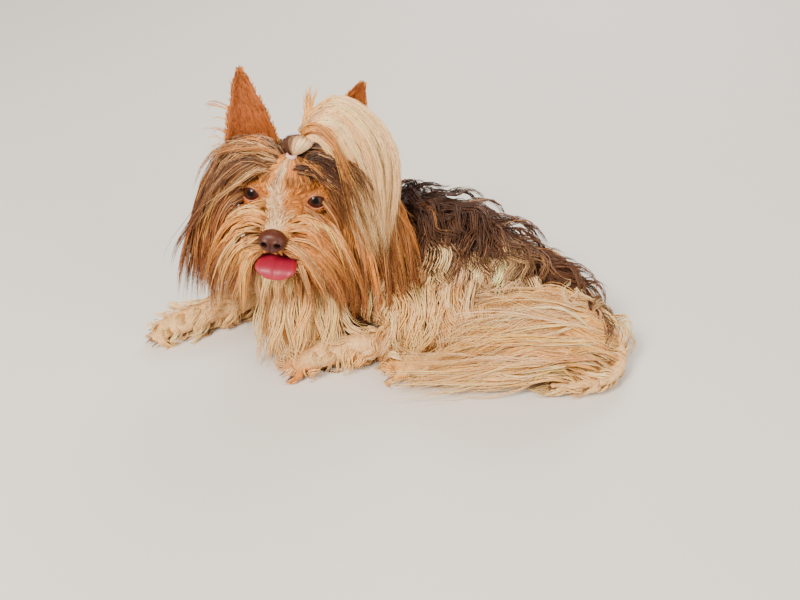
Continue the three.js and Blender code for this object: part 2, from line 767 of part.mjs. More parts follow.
// Tail: a plume that fans from the whole bone, over the thigh and along the floor
const plumeTips = through([
  V(62, -76, 52),
  V(40, -88, 42),
  V(10, -96, 24),
  V(-32, -97, 5),
  V(-24, -107, 4),
  V(6, -117, 4),
]);
for (const i of count(11)) {
  const u = i / 10;
  const place = tailBone.surface(lerp(0.05, 0.95, u), lerp(70, 20, u));
  locks.tail.push(
    hung(place.at, plumeTips.getPoint(u).add(V(draw(-8, 8), 0, draw(-2, 4))), {
      width: 7,
      thick: 2,
      over: skin.tail,
      bow: V(lerp(14, -2, u), i % 2 ? -14 : -4, lerp(24, 4, u)),
      lift: i % 2 ? 7 : 2.5,
      clear: [skin.hindlegs, skin.torso],
      clearance: 5,
      wave: 2.5,
      phase: draw(0, 1),
      rows: 6,
    }),
  );
}

// Nodes, in the order in which the later ones make room for the earlier
const headPieces = [
  skull,
  forehead,
  pulledHair,
  ...cheeks,
  ...eyeSurrounds,
  ...sideCoat,
  muzzle,
  ...upperLips,
  lowerJaw,
  lids(-1),
  lids(1),
];

const nodes = [
  ["eye_left", 0x2b1710, 0.08, [eyeball(1)]],
  ["eye_right", 0x2b1710, 0.08, [eyeball(-1)]],
  ["nose", 0x6d4038, 0.45, [noseShape]],
  ["tongue", 0xd9607c, 0.35, [tongueLimb]],
  ["hair_band_front", 0xe8b9b4, 0.5, [hairBand(bandFront, headWay(0.1, 1, 0.15))]],
  ["hair_band_back", 0xefe6cf, 0.5, [hairBand(bandBack, headWay(0.5, 0.6, -0.6))]],
  ["topknot", 0xc99a62, 0.8, locks.topknot],
  ["ponytail", 0xe8cda8, 0.8, locks.ponytail],
  ["ear_left", 0xa8622c, 0.85, [earShape(1), ...locks.ear_left]],
  ["ear_right", 0xa8622c, 0.85, [earShape(-1), ...locks.ear_right]],
  ["neck", 0x8a5a3a, 0.85, [neckLimb, chest, ...locks.neck]],
  ["head", 0xb9854e, 0.85, [...headPieces, ...locks.head]],
  ["tail", 0xe3c793, 0.85, [tailBone, ...locks.tail]],
  ["torso", 0x5d4030, 0.85, [spine, ...locks.torso]],
  ["foreleg_left", 0xdcb986, 0.85, [...legs.foreleg_left, ...locks.foreleg_left]],
  ["foreleg_right", 0xe0c290, 0.85, [...legs.foreleg_right, ...locks.foreleg_right]],
  ["hindleg_left", 0xe6cfa6, 0.85, [...legs.hindleg_left, ...locks.hindleg_left]],
  ["hindleg_right", 0xe0c290, 0.85, [...legs.hindleg_right, ...locks.hindleg_right]],
];

const underFloor = box(V(-400, -300, -100), V(300, 300, 0));
const group = new THREE.Group();
const grown = [];
for (const [name, color, roughness, pieces] of nodes) {
  let made = fused(pieces).subtract(underFloor);
  const reach = made.boundingBox();
  for (const other of grown) {
    const near = [0, 1, 2].every((k) => other.min[k] < reach.max[k] && other.max[k] > reach.min[k]);
    if (near) made = made.subtract(other.room);
  }
  const room = fused(pieces, gap).add(fused(pieces));
  grown.push({ room, ...room.boundingBox() });

  const mesh = new THREE.Mesh(meshOf(welded(made)), new THREE.MeshStandardMaterial({ color, roughness }));
  mesh.name = name;
  group.add(mesh);
}

export default group;
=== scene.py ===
import math

import bmesh
import bpy
import numpy as np
from mathutils import Matrix, Vector
from mathutils.bvhtree import BVHTree


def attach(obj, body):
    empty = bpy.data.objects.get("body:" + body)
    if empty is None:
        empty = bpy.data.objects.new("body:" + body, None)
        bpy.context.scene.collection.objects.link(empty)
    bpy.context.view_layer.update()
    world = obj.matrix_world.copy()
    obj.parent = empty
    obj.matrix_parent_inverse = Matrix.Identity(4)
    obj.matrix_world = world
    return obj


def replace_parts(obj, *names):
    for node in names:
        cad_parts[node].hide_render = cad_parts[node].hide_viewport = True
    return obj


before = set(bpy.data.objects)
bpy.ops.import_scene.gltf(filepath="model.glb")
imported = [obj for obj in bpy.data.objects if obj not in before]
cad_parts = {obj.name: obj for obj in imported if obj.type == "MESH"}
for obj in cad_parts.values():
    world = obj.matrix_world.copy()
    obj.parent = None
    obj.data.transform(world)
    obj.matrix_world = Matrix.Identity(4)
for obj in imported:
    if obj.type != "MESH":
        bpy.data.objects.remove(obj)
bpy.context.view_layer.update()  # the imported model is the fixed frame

# Sizes and places are in millimetres, as the solids' are, and become metres when a mesh is made.
# Left and right are the dog's own. The viewer stands on the -Y side, and the floor is z = 0.
milli = 0.001
downwards = np.array([0.0, 0.0, -1.0])


def spot(*values):
    return np.array(values, float)


def unit(v):
    return v / np.maximum(np.linalg.norm(v, axis=-1, keepdims=True), 1e-9)


def ease(x, low, high):
    share = np.clip((x - low) / (high - low), 0, 1)
    return share * share * (3 - 2 * share)


def mix(a, b, share):
    return a + (b - a) * share


# Camera, from where the photograph was taken
view = {"target": spot(-21, -45, 37), "distance": 640, "elevation": 38, "lens": 40.5, "sensor": 36,
        "near": 0.01}


def makeCamera():
    rise = math.radians(view["elevation"])
    back = spot(0, -math.cos(rise), math.sin(rise))
    data = bpy.data.cameras.new("camera")
    data.lens = view["lens"]
    data.sensor_width = view["sensor"]
    data.clip_start = view["near"]
    camera = bpy.data.objects.new("camera", data)
    camera.location = Vector((view["target"] + back * view["distance"]) * milli)
    camera.rotation_euler = (math.radians(90) - rise, 0, 0)
    bpy.context.scene.collection.objects.link(camera)
    bpy.context.scene.camera = camera


makeCamera()

# The head's own directions
headPlace = {"centre": spot(-95, -27, 116), "yaw": -5, "pitch": 12, "roll": 4.5}
headTurn = np.array(
    Matrix.Rotation(math.radians(headPlace["yaw"]), 3, "Z")
    @ Matrix.Rotation(math.radians(-headPlace["pitch"]), 3, "X")
    @ Matrix.Rotation(math.radians(headPlace["roll"]), 3, "Y")
)


def headWay(left, up, forward):
    return np.stack(np.broadcast_arrays(left, -np.asarray(forward, float), up), -1) @ headTurn.T


def inHead(left, up, forward):
    return headWay(left, up, forward) + headPlace["centre"]


def toHead(points):
    local = (points - headPlace["centre"]) @ headTurn
    return local[..., 0], local[..., 2], -local[..., 1]


# Colours of the coat and of the bare parts
def tone(red, green, blue):
    return ((spot(red, green, blue) / 255 + 0.055) / 1.055) ** 2.4


tones = {
    "cream": tone(255, 203, 138),
    "white": tone(255, 211, 160),
    "straw": tone(250, 182, 96),
    "gold": tone(226, 146, 66),
    "amber": tone(142, 84, 42),
    "tan": tone(204, 124, 52),
    "ear": tone(160, 84, 32),
    "russet": tone(118, 50, 18),
    "ash": tone(148, 104, 70),
    "cocoa": tone(84, 49, 27),
    "chocolate": tone(60, 33, 20),
}

# Flesh below the coat: limbs are stops of x, y, z, half width, half height; depth is the coat's
flesh = {
    "torso": {"depth": 6, "limbs": [[
        (-82, -24, 46, 24, 31), (-60, -13, 49, 34, 46), (-24, -2, 51, 39, 53), (10, -6, 49, 39, 51),
        (44, -24, 43, 36, 45), (74, -41, 37, 32, 38), (97, -52, 31, 24, 29),
    ]]},
    "neck": {"depth": 5, "limbs": [
        [(-50, -10, 74, 31, 28), (-72, -17, 90, 29, 26), (*inHead(2, -10, -14), 22, 21)],
        [(-84, -28, 84, 26, 22), (-92, -34, 62, 27, 22), (-90, -34, 40, 25, 20)],
    ]},
    "forelegLeft": {"depth": 3.2, "limbs": [
        [(-44, -34, 52, 17, 19), (-26, -52, 36, 14, 16), (-8, -60, 22, 12, 13)],
        [(-8, -60, 20, 14, 14), (-40, -68, 16, 13, 13.5), (-66, -72, 13, 12, 12)],
        [(-66, -72, 13, 12, 12), (-80, -76, 11, 13.5, 10.5), (-92, -80, 9, 12, 9)],
    ]},
    "forelegRight": {"depth": 3.2, "limbs": [
        [(-84, -2, 52, 18, 20), (-98, 2, 36, 15, 17), (-112, 2, 22, 13, 14)],
        [(-112, 2, 20, 15, 15), (-142, -18, 17, 14, 14.5), (-168, -32, 13, 12, 12)],
        [(-168, -32, 13, 12, 12), (-182, -38, 11, 13.5, 10.5), (-193, -43, 9, 12, 9)],
    ]},
    "hindlegLeft": {"depth": 3.2, "limbs": [
        [(76, -54, 42, 20, 23), (54, -62, 36, 20, 23), (34, -68, 28, 14, 17)],
        [(36, -70, 25, 13, 14), (52, -78, 16, 10, 10), (62, -80, 11, 9, 9)],
        [(62, -80, 11, 10, 10), (20, -83, 11, 11, 11), (-8, -83, 10, 12, 10), (-20, -82, 8.5, 12, 8.5)],
    ]},
    "hindlegRight": {"depth": 3.2, "limbs": [
        [(84, -28, 34, 20, 22), (74, -4, 29, 19, 22), (56, 14, 25, 14, 17)],
        [(56, 15, 23, 13, 14), (70, 18, 14, 10, 10), (76, 17, 11, 9, 9)],
        [(76, 18, 11, 10, 10), (46, 29, 10.5, 10.5, 10.5), (14, 38, 8.5, 12, 8.5)],
    ]},
    "tail": {"depth": 2.5, "limbs": [[
        (104, -56, 36, 11, 11), (122, -66, 27, 9, 9), (131, -82, 17, 8, 8), (122, -98, 12, 7, 7),
        (98, -104, 10, 6, 6), (72, -103, 9, 4, 4),
    ]]},
}
# Balls of the head: left, up, forward, then the radii the same way
headBalls = [
    (0, 0, 0, 28, 25, 30), (20, 2, 12, 12, 12.5, 9.5), (-20, 2, 12, 12, 12.5, 9.5), (0, 8, 13, 22, 16, 16),
    (2, 18, 12, 14, 9, 12), (17, -10, 10, 13, 15, 15), (-17, -10, 10, 13, 15, 15),
    (25, -8, -4, 13, 22, 16), (-25, -8, -4, 13, 22, 16),
    (6.5, -21, 41, 7, 6.5, 11), (-6.5, -21, 41, 7, 6.5, 11),
]
headLimbs = [
    [(*inHead(0, -12, 16), 17, 14), (*inHead(0, -15, 34), 12.5, 11.5), (*inHead(0, -16.5, 47), 10, 9.5)],
    [(*inHead(0, -28, 12), 14, 9), (*inHead(0, -34, 32), 9.5, 5.5), (*inHead(0, -36, 43), 7.5, 4.6)],
]
earPlace = {"up": 20, "forward": -2, "tipUp": 77, "tipForward": -6, "halfWidth": 17, "turn": -18,
            "widths": (1, 0.95, 0.74, 0.44, 0.08), "thick": (7.5, 1.4)}
earSides = {1: {"side": 27, "tipSide": 44}, -1: {"side": 25, "tipSide": 38}}


# Curves through places, and rounded limbs along them
def curve(places, shares):
    # Places along one line of stops, or along many lines at once
    places = np.asarray(places, float)
    first, last = places[..., :1, :], places[..., -1:, :]
    padded = np.concatenate([2 * first - places[..., 1:2, :], places, 2 * last - places[..., -2:-1, :]], -2)
    at = np.clip(np.asarray(shares, float), 0, 1) * (places.shape[-2] - 1)
    low = np.minimum(at.astype(int), places.shape[-2] - 2)
    t = (at - low)[:, None]
    a, b, c, d = (padded[..., low + k, :] for k in range(4))
    return 0.5 * (2 * b + (c - a) * t + (2 * a - 5 * b + 4 * c - d) * t**2 + (3 * b - a - 3 * c + d) * t**3)


def limbFrame(stops, shares, upHint=(0, 0, 1)):
    stops = np.asarray(stops, float)
    shares = np.asarray(shares, float)
    at = curve(stops[:, :3], shares)
    along = unit(curve(stops[:, :3], shares + 0.01) - curve(stops[:, :3], shares - 0.01))
    side = unit(np.cross(along, np.asarray(upHint, float)))
    up = np.cross(side, along)
    place = np.clip(shares, 0, 1) * (len(stops) - 1)
    low = np.minimum(place.astype(int), len(stops) - 2)
    blend = ease(place - low, 0, 1)
    wide = mix(stops[low, 3], stops[low + 1, 3], blend)
    tall = mix(stops[low, 4], stops[low + 1, 4], blend)
    return {"at": at, "along": along, "side": side, "up": up, "wide": wide, "tall": tall}


# The flesh as many eggs, whose least height over them is the height over the skin
eggs = {"centre": [], "axes": [], "radii": [], "part": []}
eggSize = {"perStop": 4, "thinnest": 1.2}
partNames = []


def addEggs(part, centre, axes, radii):
    if part not in partNames:
        partNames.append(part)
    eggs["centre"].append(np.atleast_2d(centre))
    eggs["axes"].append(np.asarray(axes, float).reshape(-1, 3, 3))
    eggs["radii"].append(np.atleast_2d(radii))
    eggs["part"].append(np.full(len(np.atleast_2d(centre)), partNames.index(part)))


def addLimb(part, stops, depth, upHint=(0, 0, 1)):
    f = limbFrame(stops, np.linspace(0, 1, eggSize["perStop"] * len(stops) + 1), upHint)
    axes = np.stack([f["side"], f["along"], f["up"]], 1)
    radii = np.stack([f["wide"], np.minimum(f["wide"], f["tall"]), f["tall"]], 1) - depth
    addEggs(part, f["at"], axes, np.maximum(radii, eggSize["thinnest"]))


def addBall(part, centre, radius):
    addEggs(part, centre, np.eye(3), np.full(3, radius))


for part, shape in flesh.items():
    for row, stops in enumerate(shape["limbs"]):
        chest = part == "neck" and row == 1
        addLimb(part, stops, shape["depth"], (0, 1, 0) if chest else (0, 0, 1))
headAxes = np.stack([headWay(1, 0, 0), headWay(0, 0, 1), headWay(0, 1, 0)])
headDepth = {"face": 1.4, "side": 5, "sideFrom": 25}  # the coat's; balls this far to the left are sides
for left, up, forward, wide, tall, deep in headBalls:
    depth = headDepth["side" if abs(left) >= headDepth["sideFrom"] else "face"]
    addEggs("head", inHead(left, up, forward), headAxes, spot(wide, deep, tall) - depth)
for stops in headLimbs:
    addLimb("head", stops, headDepth["face"], headWay(0, 1, 0))

# Toes, four to a paw, and the places of their claws
toeSize = {"apart": 5.6, "ahead": 8, "back": 3, "radius": 4.2, "height": 5.6}
clawRoot = {"ahead": 3.6, "aside": 0.5, "turn": 0.12}
clawPlaces = []
legParts = ["forelegLeft", "forelegRight", "hindlegLeft", "hindlegRight"]
for part, toeSide in zip(legParts, (0.6, -0.6, 0.4, -0.4)):
    paw = np.array(flesh[part]["limbs"][2])[:, :3]
    ahead = unit((paw[-1] - paw[0]) * spot(1, 1, 0))
    across = np.cross(ahead, spot(0, 0, 1))
    for k in (-1.5, -0.5, 0.5, 1.5):
        reach = toeSize["ahead"] - abs(k) * toeSize["back"] + toeSide * k
        at = paw[-1] + across * k * toeSize["apart"] + ahead * reach
        at[2] = toeSize["height"]
        addBall(part, at, toeSize["radius"])
        root = at + ahead * clawRoot["ahead"] + across * k * clawRoot["aside"]
        clawPlaces.append((root, unit(ahead + across * k * clawRoot["turn"])))


# Ears, eyes, nose and tongue, which the coat keeps clear of too
def earEnds(s):
    base = inHead(s * earSides[s]["side"], earPlace["up"], earPlace["forward"])
    tip = inHead(s * earSides[s]["tipSide"], earPlace["tipUp"], earPlace["tipForward"])
    return base, tip


def earLimb(s):
    base, tip = earEnds(s)
    shares = np.linspace(0, 1, len(earPlace["widths"]))
    return [
        (*mix(base, tip, share), earPlace["halfWidth"] * width, mix(*earPlace["thick"], share))
        for share, width in zip(shares, earPlace["widths"])
    ]


def earFacing(s):
    base, tip = earEnds(s)
    along = unit(tip - base)
    turn = Matrix.Rotation(math.radians(earPlace["turn"] * s), 3, Vector(along))
    return np.array(turn @ Vector(headWay(0, 0, 1))), along


for s in (1, -1):
    addLimb("ears", earLimb(s), 0, earFacing(s)[0])
eyeSize = {"side": 20.2, "up": 2, "forward": 16.2, "radius": 8.1, "clear": 0.6}
eyeRoom = {"way": (0.12, 0.3, 0.93), "ahead": 8, "half": spot(7.4, 8.5, 5.4)}


def eyeCentre(s):
    return inHead(s * eyeSize["side"], eyeSize["up"], eyeSize["forward"])


for s in (1, -1):
    addBall("eyes", eyeCentre(s), eyeSize["radius"] + eyeSize["clear"])
    left, up, forward = eyeRoom["way"]
    ahead = headWay(s * left, up, forward)
    addEggs("eyes", eyeCentre(s) + ahead * eyeRoom["ahead"], headAxes, eyeRoom["half"])
noseSize = {"up": -14.5, "forward": 53, "half": spot(9.0, 7.4, 7.2), "clear": 0.4}
noseHalf = noseSize["half"][[0, 2, 1]] + noseSize["clear"]
addEggs("nose", inHead(0, noseSize["up"], noseSize["forward"]), headAxes, noseHalf)
# Stops of the tongue: up, forward, half width, half height
tongueStops = [(-31, 30, 8, 2.0), (-31, 44, 12.5, 2.1), (-34, 54, 13.4, 2.0), (-39.5, 57.5, 9.6, 1.8)]
tongueLeft = 2.5
tonguePlaces = [(*inHead(tongueLeft, up, forward), wide, thick) for up, forward, wide, thick in tongueStops]
addLimb("tongue", tonguePlaces, -0.4, headWay(0, 1, 0))


def joined(parts, names=None):
    # Eggs in one set, of some parts or all, with the turns and sizes that heights are worked out from
    made = {key: np.concatenate(value) for key, value in parts.items()}
    if names:
        kept = np.isin(made["part"], [partNames.index(name) for name in names])
        made = {key: value[kept] for key, value in made.items()}
    scaled = made["axes"] / made["radii"][:, :, None]
    made["turns"] = scaled.reshape(-1, 3).T
    made["shift"] = np.einsum("kij,kj->ki", scaled, made["centre"])
    return made


skinEggs = joined(eggs, ["torso", "neck", "head", "tail", *legParts])
allEggs = joined(eggs)
headEggs = joined(eggs, ["head"])
tailEggs = joined(eggs, ["tail"])
atOnce = 8000  # points whose heights are worked out together


def over(points, field):
    # Height over the nearest egg, the way out of it, and which egg it is
    shape = points.shape[:-1]
    points = points.reshape(-1, 3)
    height = np.empty(len(points))
    outward = np.empty((len(points), 3))
    nearest = np.empty(len(points), int)
    for low in range(0, len(points), atOnce):
        part = slice(low, low + atOnce)
        local = (points[part] @ field["turns"]).reshape(-1, *field["shift"].shape) - field["shift"]
        steep = local / field["radii"]
        near = np.sqrt(np.square(local).sum(2))
        heights = near * (near - 1) / np.sqrt(np.maximum(np.square(steep).sum(2), 1e-12))
        pick = heights.argmin(1)
        rows = np.arange(len(pick))
        height[part] = heights[rows, pick]
        nearest[part] = pick
        outward[part] = unit(np.einsum("ni,nij->nj", steep[rows, pick], field["axes"][pick]))
    return height.reshape(shape), outward.reshape(*shape, 3), nearest.reshape(shape)


# Markings: the colour of the coat at a place, painted in turn as soft patches
def soft(points, centre, radii, edge):
    return 1 - ease(np.linalg.norm((points - centre) / radii, axis=-1), 1 - edge, 1 + edge)


bodyPatches = [
    # colour, centre, radii, edge
    ("cocoa", (24, 2, 104), (122, 58, 54), 0.1),
    ("chocolate", (0, 8, 114), (80, 44, 44), 0.5),
    ("cocoa", (96, -50, 58), (40, 36, 32), 0.2),
    ("cocoa", (68, -72, 66), (27, 18, 13), 0.25),
    ("white", (48, -62, 62), (15, 14, 9), 0.4),
    ("cream", (14, -62, 52), (36, 26, 27), 0.2),
    ("white", (16, -56, 60), (22, 18, 12), 0.6),
    ("gold", (-98, -92, 4), (22, 14, 10), 0.6),
    ("straw", (-34, -90, 6), (26, 20, 12), 0.6),
    ("gold", inHead(0, 4, 4), (48, 58, 50), 0.14),  # the head's ground
]
headPatches = [
    # colour, centre and radii as left, up, forward, edge
    ("ash", (0, 26, -14), (44, 24, 32), 0.3),
    ("cocoa", (0, 4, -28), (42, 36, 22), 0.4),
    ("cocoa", (20, 26, 4), (16, 12, 14), 0.4),
    ("gold", (-15, 13, 22), (15, 15, 14), 0.4),
    ("tan", (13, 10, 22), (13, 12, 14), 0.4),
    ("cocoa", (17, 15, 18), (8, 7, 12), 0.5),
    ("tan", (20, 1, 17), (14, 11, 16), 0.45),
    ("tan", (-20, 1, 17), (14, 10, 16), 0.45),
    ("straw", (16, -14, 34), (15, 11, 20), 0.4),
    ("straw", (-18, -12, 34), (15, 11, 20), 0.4),
    # Russet at the mouth's corners: partly russet hair of its own, partly painted shade beside the tongue and
    # under the lip
    ("russet", (11, -27, 40), (8, 4, 13), 0.5),
    ("russet", (-11, -27, 40), (8, 4, 13), 0.5),
    ("cream", (0, -37, 34), (20, 7, 24), 0.4),
    ("white", (-1.5, 27, 20), (2.6, 7, 12), 0.3),
    ("white", (-3.5, 15, 28), (4.0, 11, 13), 0.3),
    ("white", (-4, 3, 33), (4.6, 9, 14), 0.3),
    ("white", (-4, -7, 42), (9.5, 6, 13), 0.4),
]


def painted(colour, places, patches):
    for name, centre, radii, edge in patches:
        colour = mix(colour, tones[name], soft(places, spot(*centre), spot(*radii), edge)[..., None])
    return colour


def markings(points):
    colour = painted(np.broadcast_to(tones["cream"], points.shape), points, bodyPatches)
    return painted(colour, np.stack(toHead(points), -1), headPatches)


# Materials
def finish(name, settings):
    material = bpy.data.materials.new(name)
    material.use_nodes = True
    shader = material.node_tree.nodes["Principled BSDF"]
    for socket, value in settings.items():
        shader.inputs[socket].default_value = value
    return material, material.node_tree, shader


def node(tree, kind, settings=None, links=None):
    made = tree.nodes.new("ShaderNode" + kind)
    for key, value in (settings or {}).items():
        if isinstance(key, int) or key in made.inputs:
            made.inputs[key].default_value = value
        else:
            setattr(made, key, value)
    for key, source in (links or {}).items():
        tree.links.new(source, made.inputs[key])
    return made


def surface(name, settings, kind, grain, shade=None, relief=None, ofShade=False, pair=None):
    # Colour painted on the points, or mixed from a pair, with a texture's light and dark.
    # Relief is a strength and a depth, and follows the texture or its shade.
    material, tree, shader = finish(name, settings)
    place = node(tree, "TexCoord")
    texture = node(tree, "Tex" + kind, grain, {"Vector": place.outputs["Object"]})
    height = texture.outputs["Fac" if kind == "Noise" else "Distance"]
    if pair:
        ends = {"data_type": "RGBA", 6: (*pair[0], 1), 7: (*pair[1], 1)}
        colour = node(tree, "Mix", ends, {"Factor": height}).outputs[2]
    else:
        colour = node(tree, "Attribute", {"attribute_name": "coatColour"}).outputs["Color"]
    if shade:
        strength = node(tree, "MapRange", shade, {"Value": height}).outputs["Result"]
        scaled = node(tree, "VectorMath", {"operation": "SCALE"}, {0: colour, "Scale": strength})
        colour = scaled.outputs["Vector"]
        height = strength if ofShade else height
    tree.links.new(colour, shader.inputs["Base Color"])
    if relief:
        bump = node(tree, "Bump", {"Strength": relief[0], "Distance": relief[1]}, {"Height": height})
        tree.links.new(bump.outputs["Normal"], shader.inputs["Normal"])
    return material


hairFinish = {"Roughness": 0.45, "Specular IOR Level": 0.4}
hairStreaks = {"From Min": 0.3, "From Max": 0.7, "To Min": 0.84, "To Max": 1.16}
# The hide's colour follows the grain of its relief, from 0.55 of the markings in its hollows to 0.95 on its
# rises: painted shade in the hollows
hideShade = {"From Min": 0.3, "From Max": 0.7, "To Min": 0.55, "To Max": 0.95}
hair = surface("hair", hairFinish, "Noise", {"Scale": 900.0, "Detail": 2.0}, hairStreaks)
velvet = surface("velvet", hairFinish, "Noise", {"Scale": 1600.0, "Detail": 2.0}, hairStreaks)
hide = surface("hide", {"Roughness": 0.62, "Specular IOR Level": 0.3}, "Noise",
               {"Scale": 420.0, "Detail": 5.0, "Distortion": 0.6}, hideShade, (0.5, 0.0006))


# Making and placing pieces
def pieceFrom(name, mesh, material):
    made = bpy.data.objects.new(name, mesh)
    bpy.context.scene.collection.objects.link(made)
    mesh.materials.append(material)
    mesh.polygons.foreach_set("use_smooth", np.full(len(mesh.polygons), True))
    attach(made, "root")
    return made


def meshOf(shape, name):
    mesh = bpy.data.meshes.new(name)
    shape.to_mesh(mesh)
    shape.free()
    return mesh


def vertsOf(shape):
    return np.array([v.co for v in shape.verts]).reshape(-1, 3)


def moveTo(shape, places):
    for vert, place in zip(shape.verts, places):
        vert.co = Vector(place)


def paintPoints(mesh, colours):
    layer = mesh.color_attributes.new("coatColour", "FLOAT_COLOR", "POINT")
    full = np.ones((len(colours), 4), np.float32)
    full[:, :3] = colours
    layer.data.foreach_set("color", full.ravel())


# Skin: the eggs in one shell, drawn tight over their common surface
skinSize = {"voxel": 2.1, "detail": 3, "rounds": 3, "furthest": 3, "smooth": 0.5, "floor": 0.25}


def placesOf(mesh):
    places = np.empty(len(mesh.vertices) * 3)
    mesh.vertices.foreach_get("co", places)
    return places.reshape(-1, 3) / milli


def placeAt(mesh, places):
    mesh.vertices.foreach_set("co", (places * milli).ravel())


def makeSkin():
    shape = bmesh.new()
    for centre, axes, radii in zip(skinEggs["centre"], skinEggs["axes"], skinEggs["radii"]):
        turn = Matrix(axes.T.tolist()).to_4x4()
        size = Matrix.Diagonal((*radii, 1))
        place = Matrix.Scale(milli, 4) @ Matrix.Translation(Vector(centre)) @ turn @ size
        bmesh.ops.create_icosphere(shape, subdivisions=skinSize["detail"], radius=1, matrix=place)
    base = bpy.data.objects.new("skinBase", meshOf(shape, "skinBase"))
    bpy.context.scene.collection.objects.link(base)
    remesh = base.modifiers.new("shell", "REMESH")
    remesh.mode = "VOXEL"
    remesh.voxel_size = skinSize["voxel"] * milli
    whole = bpy.data.meshes.new_from_object(base.evaluated_get(bpy.context.evaluated_depsgraph_get()))
    bpy.data.objects.remove(base)
    shell = bmesh.new()
    shell.from_mesh(whole)
    island = largestIsland(shell)
    bmesh.ops.delete(shell, geom=[v for v in shell.verts if v not in island], context="VERTS")
    bmesh.ops.triangulate(shell, faces=shell.faces)
    mesh = meshOf(shell, "skin")
    bpy.data.meshes.remove(whole)
    for _ in range(skinSize["rounds"]):
        places = placesOf(mesh)
        height, outward, _ = over(places, skinEggs)
        drawn = np.clip(height, -skinSize["furthest"], skinSize["furthest"])
        placeAt(mesh, places - outward * drawn[:, None])
        shell = bmesh.new()
        shell.from_mesh(mesh)
        bmesh.ops.smooth_vert(shell, verts=shell.verts, factor=skinSize["smooth"], use_axis_x=True,
                              use_axis_y=True, use_axis_z=True)
        bmesh.ops.recalc_face_normals(shell, faces=shell.faces)
        shell.to_mesh(mesh)
        shell.free()
    places = placesOf(mesh)
    places[:, 2] = np.maximum(places[:, 2], skinSize["floor"])
    placeAt(mesh, places)
    return mesh


def largestIsland(shape):
    left = set(shape.verts)
    best = set()
    while left:
        seed = left.pop()
        island = {seed}
        edge = [seed]
        while edge:
            vert = edge.pop()
            for link in vert.link_edges:
                other = link.other_vert(vert)
                if other not in island:
                    island.add(other)
                    edge.append(other)
        left -= island
        if len(island) > len(best):
            best = island
    return best


skinMesh = makeSkin()
skin = pieceFrom("skin", skinMesh, hide)
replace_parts(skin, "torso", "neck", "head", "tail", "foreleg_left", "foreleg_right", "hindleg_left",
            "hindleg_right")
skinPlaces = placesOf(skinMesh)
paintPoints(skinMesh, markings(skinPlaces))
bpy.context.view_layer.objects.active = skin
skin.select_set(True)
bpy.ops.object.mode_set(mode="EDIT")
bpy.ops.mesh.select_all(action="SELECT")
bpy.ops.uv.smart_project(angle_limit=math.radians(66), island_margin=0.002)
bpy.ops.object.mode_set(mode="OBJECT")
skin.select_set(False)
skinMesh.uv_layers[0].name = "OFBake"
skinTree = BVHTree.FromPolygons(
    [Vector(p) for p in skinPlaces], [tuple(poly.vertices) for poly in skinMesh.polygons]
)
cornerUv = np.empty(len(skinMesh.loops) * 2)
skinMesh.uv_layers["OFBake"].data.foreach_get("uv", cornerUv)
faceUv = cornerUv.reshape(-1, 3, 2).mean(1)
skinFaces = np.empty(len(skinMesh.polygons) * 3, int)
skinMesh.polygons.foreach_get("vertices", skinFaces)
skinFaces = skinFaces.reshape(-1, 3)
print("skin", len(skinMesh.polygons), "faces")

# Roots: places on the skin, well apart, drawn where a weight says
faceCorners = skinPlaces[skinFaces]
faceCentres = faceCorners.mean(1)
faceEdges = faceCorners[:, 1:] - faceCorners[:, :1]
faceAreas = np.linalg.norm(np.cross(faceEdges[:, 0], faceEdges[:, 1]), axis=1) / 2
_, faceOut, faceEggs = over(faceCentres, skinEggs)
faceParts = np.array(partNames)[skinEggs["part"][faceEggs]]
faceHeight = faceCentres[:, 2]
faceLeft, faceUp, faceForward = toHead(faceCentres)
rootChoices = 10  # places drawn for each root that is kept


def partWeight(*names):
    return np.isin(faceParts, names).astype(float)


def spreadRoots(count, weight, seed):
    chance = np.random.default_rng(seed)
    share = faceAreas * weight
    picks = chance.choice(len(share), size=count * rootChoices, p=share / share.sum())
    a, b = chance.random((2, len(picks)))
    flip = a + b > 1
    a, b = np.where(flip, 1 - a, a), np.where(flip, 1 - b, b)
    places = faceCorners[picks, 0] + faceEdges[picks, 0] * a[:, None] + faceEdges[picks, 1] * b[:, None]
    kept = [0]
    room = np.linalg.norm(places - places[0], axis=1)
    for _ in range(count - 1):
        kept.append(int(room.argmax()))
        room = np.minimum(room, np.linalg.norm(places - places[kept[-1]], axis=1))
    return places[kept]


# Paths of locks. Each is rooted in the skin, rises to its lift and keeps clear of what it passes.
lockLook = {"sink": 1.6, "floor": 1.2, "steps": 13}


def easedPaths(paths, rounds=1):
    for _ in range(rounds):
        paths[:, 1:-1] = paths[:, 1:-1] * 0.5 + (paths[:, :-2] + paths[:, 2:]) * 0.25
    return paths


def swayed(paths, faces, look, chance):
    # Waves to the side and curls away from the body. Drift makes neighbours wave together.
    count, stops = paths.shape[:2]
    t = np.linspace(0, 1, stops)[None]
    side = unit(np.cross(unit(np.gradient(paths, axis=1)), faces))
    phase = paths[:, 0] @ spot(*look.get("drift", (0, 0, 0))) + chance.random(count) * look.get("scatter", 1)
    turn = 2 * math.pi * (look.get("waves", 1.2) * t + phase[:, None])
    grown = ease(t, 0.05, 0.5)
    aside = look.get("wave", 0) * grown * np.sin(turn)
    above = look.get("curl", 0) * grown * (0.8 + np.cos(turn))
    return paths + side * aside[..., None] + faces * above[..., None]


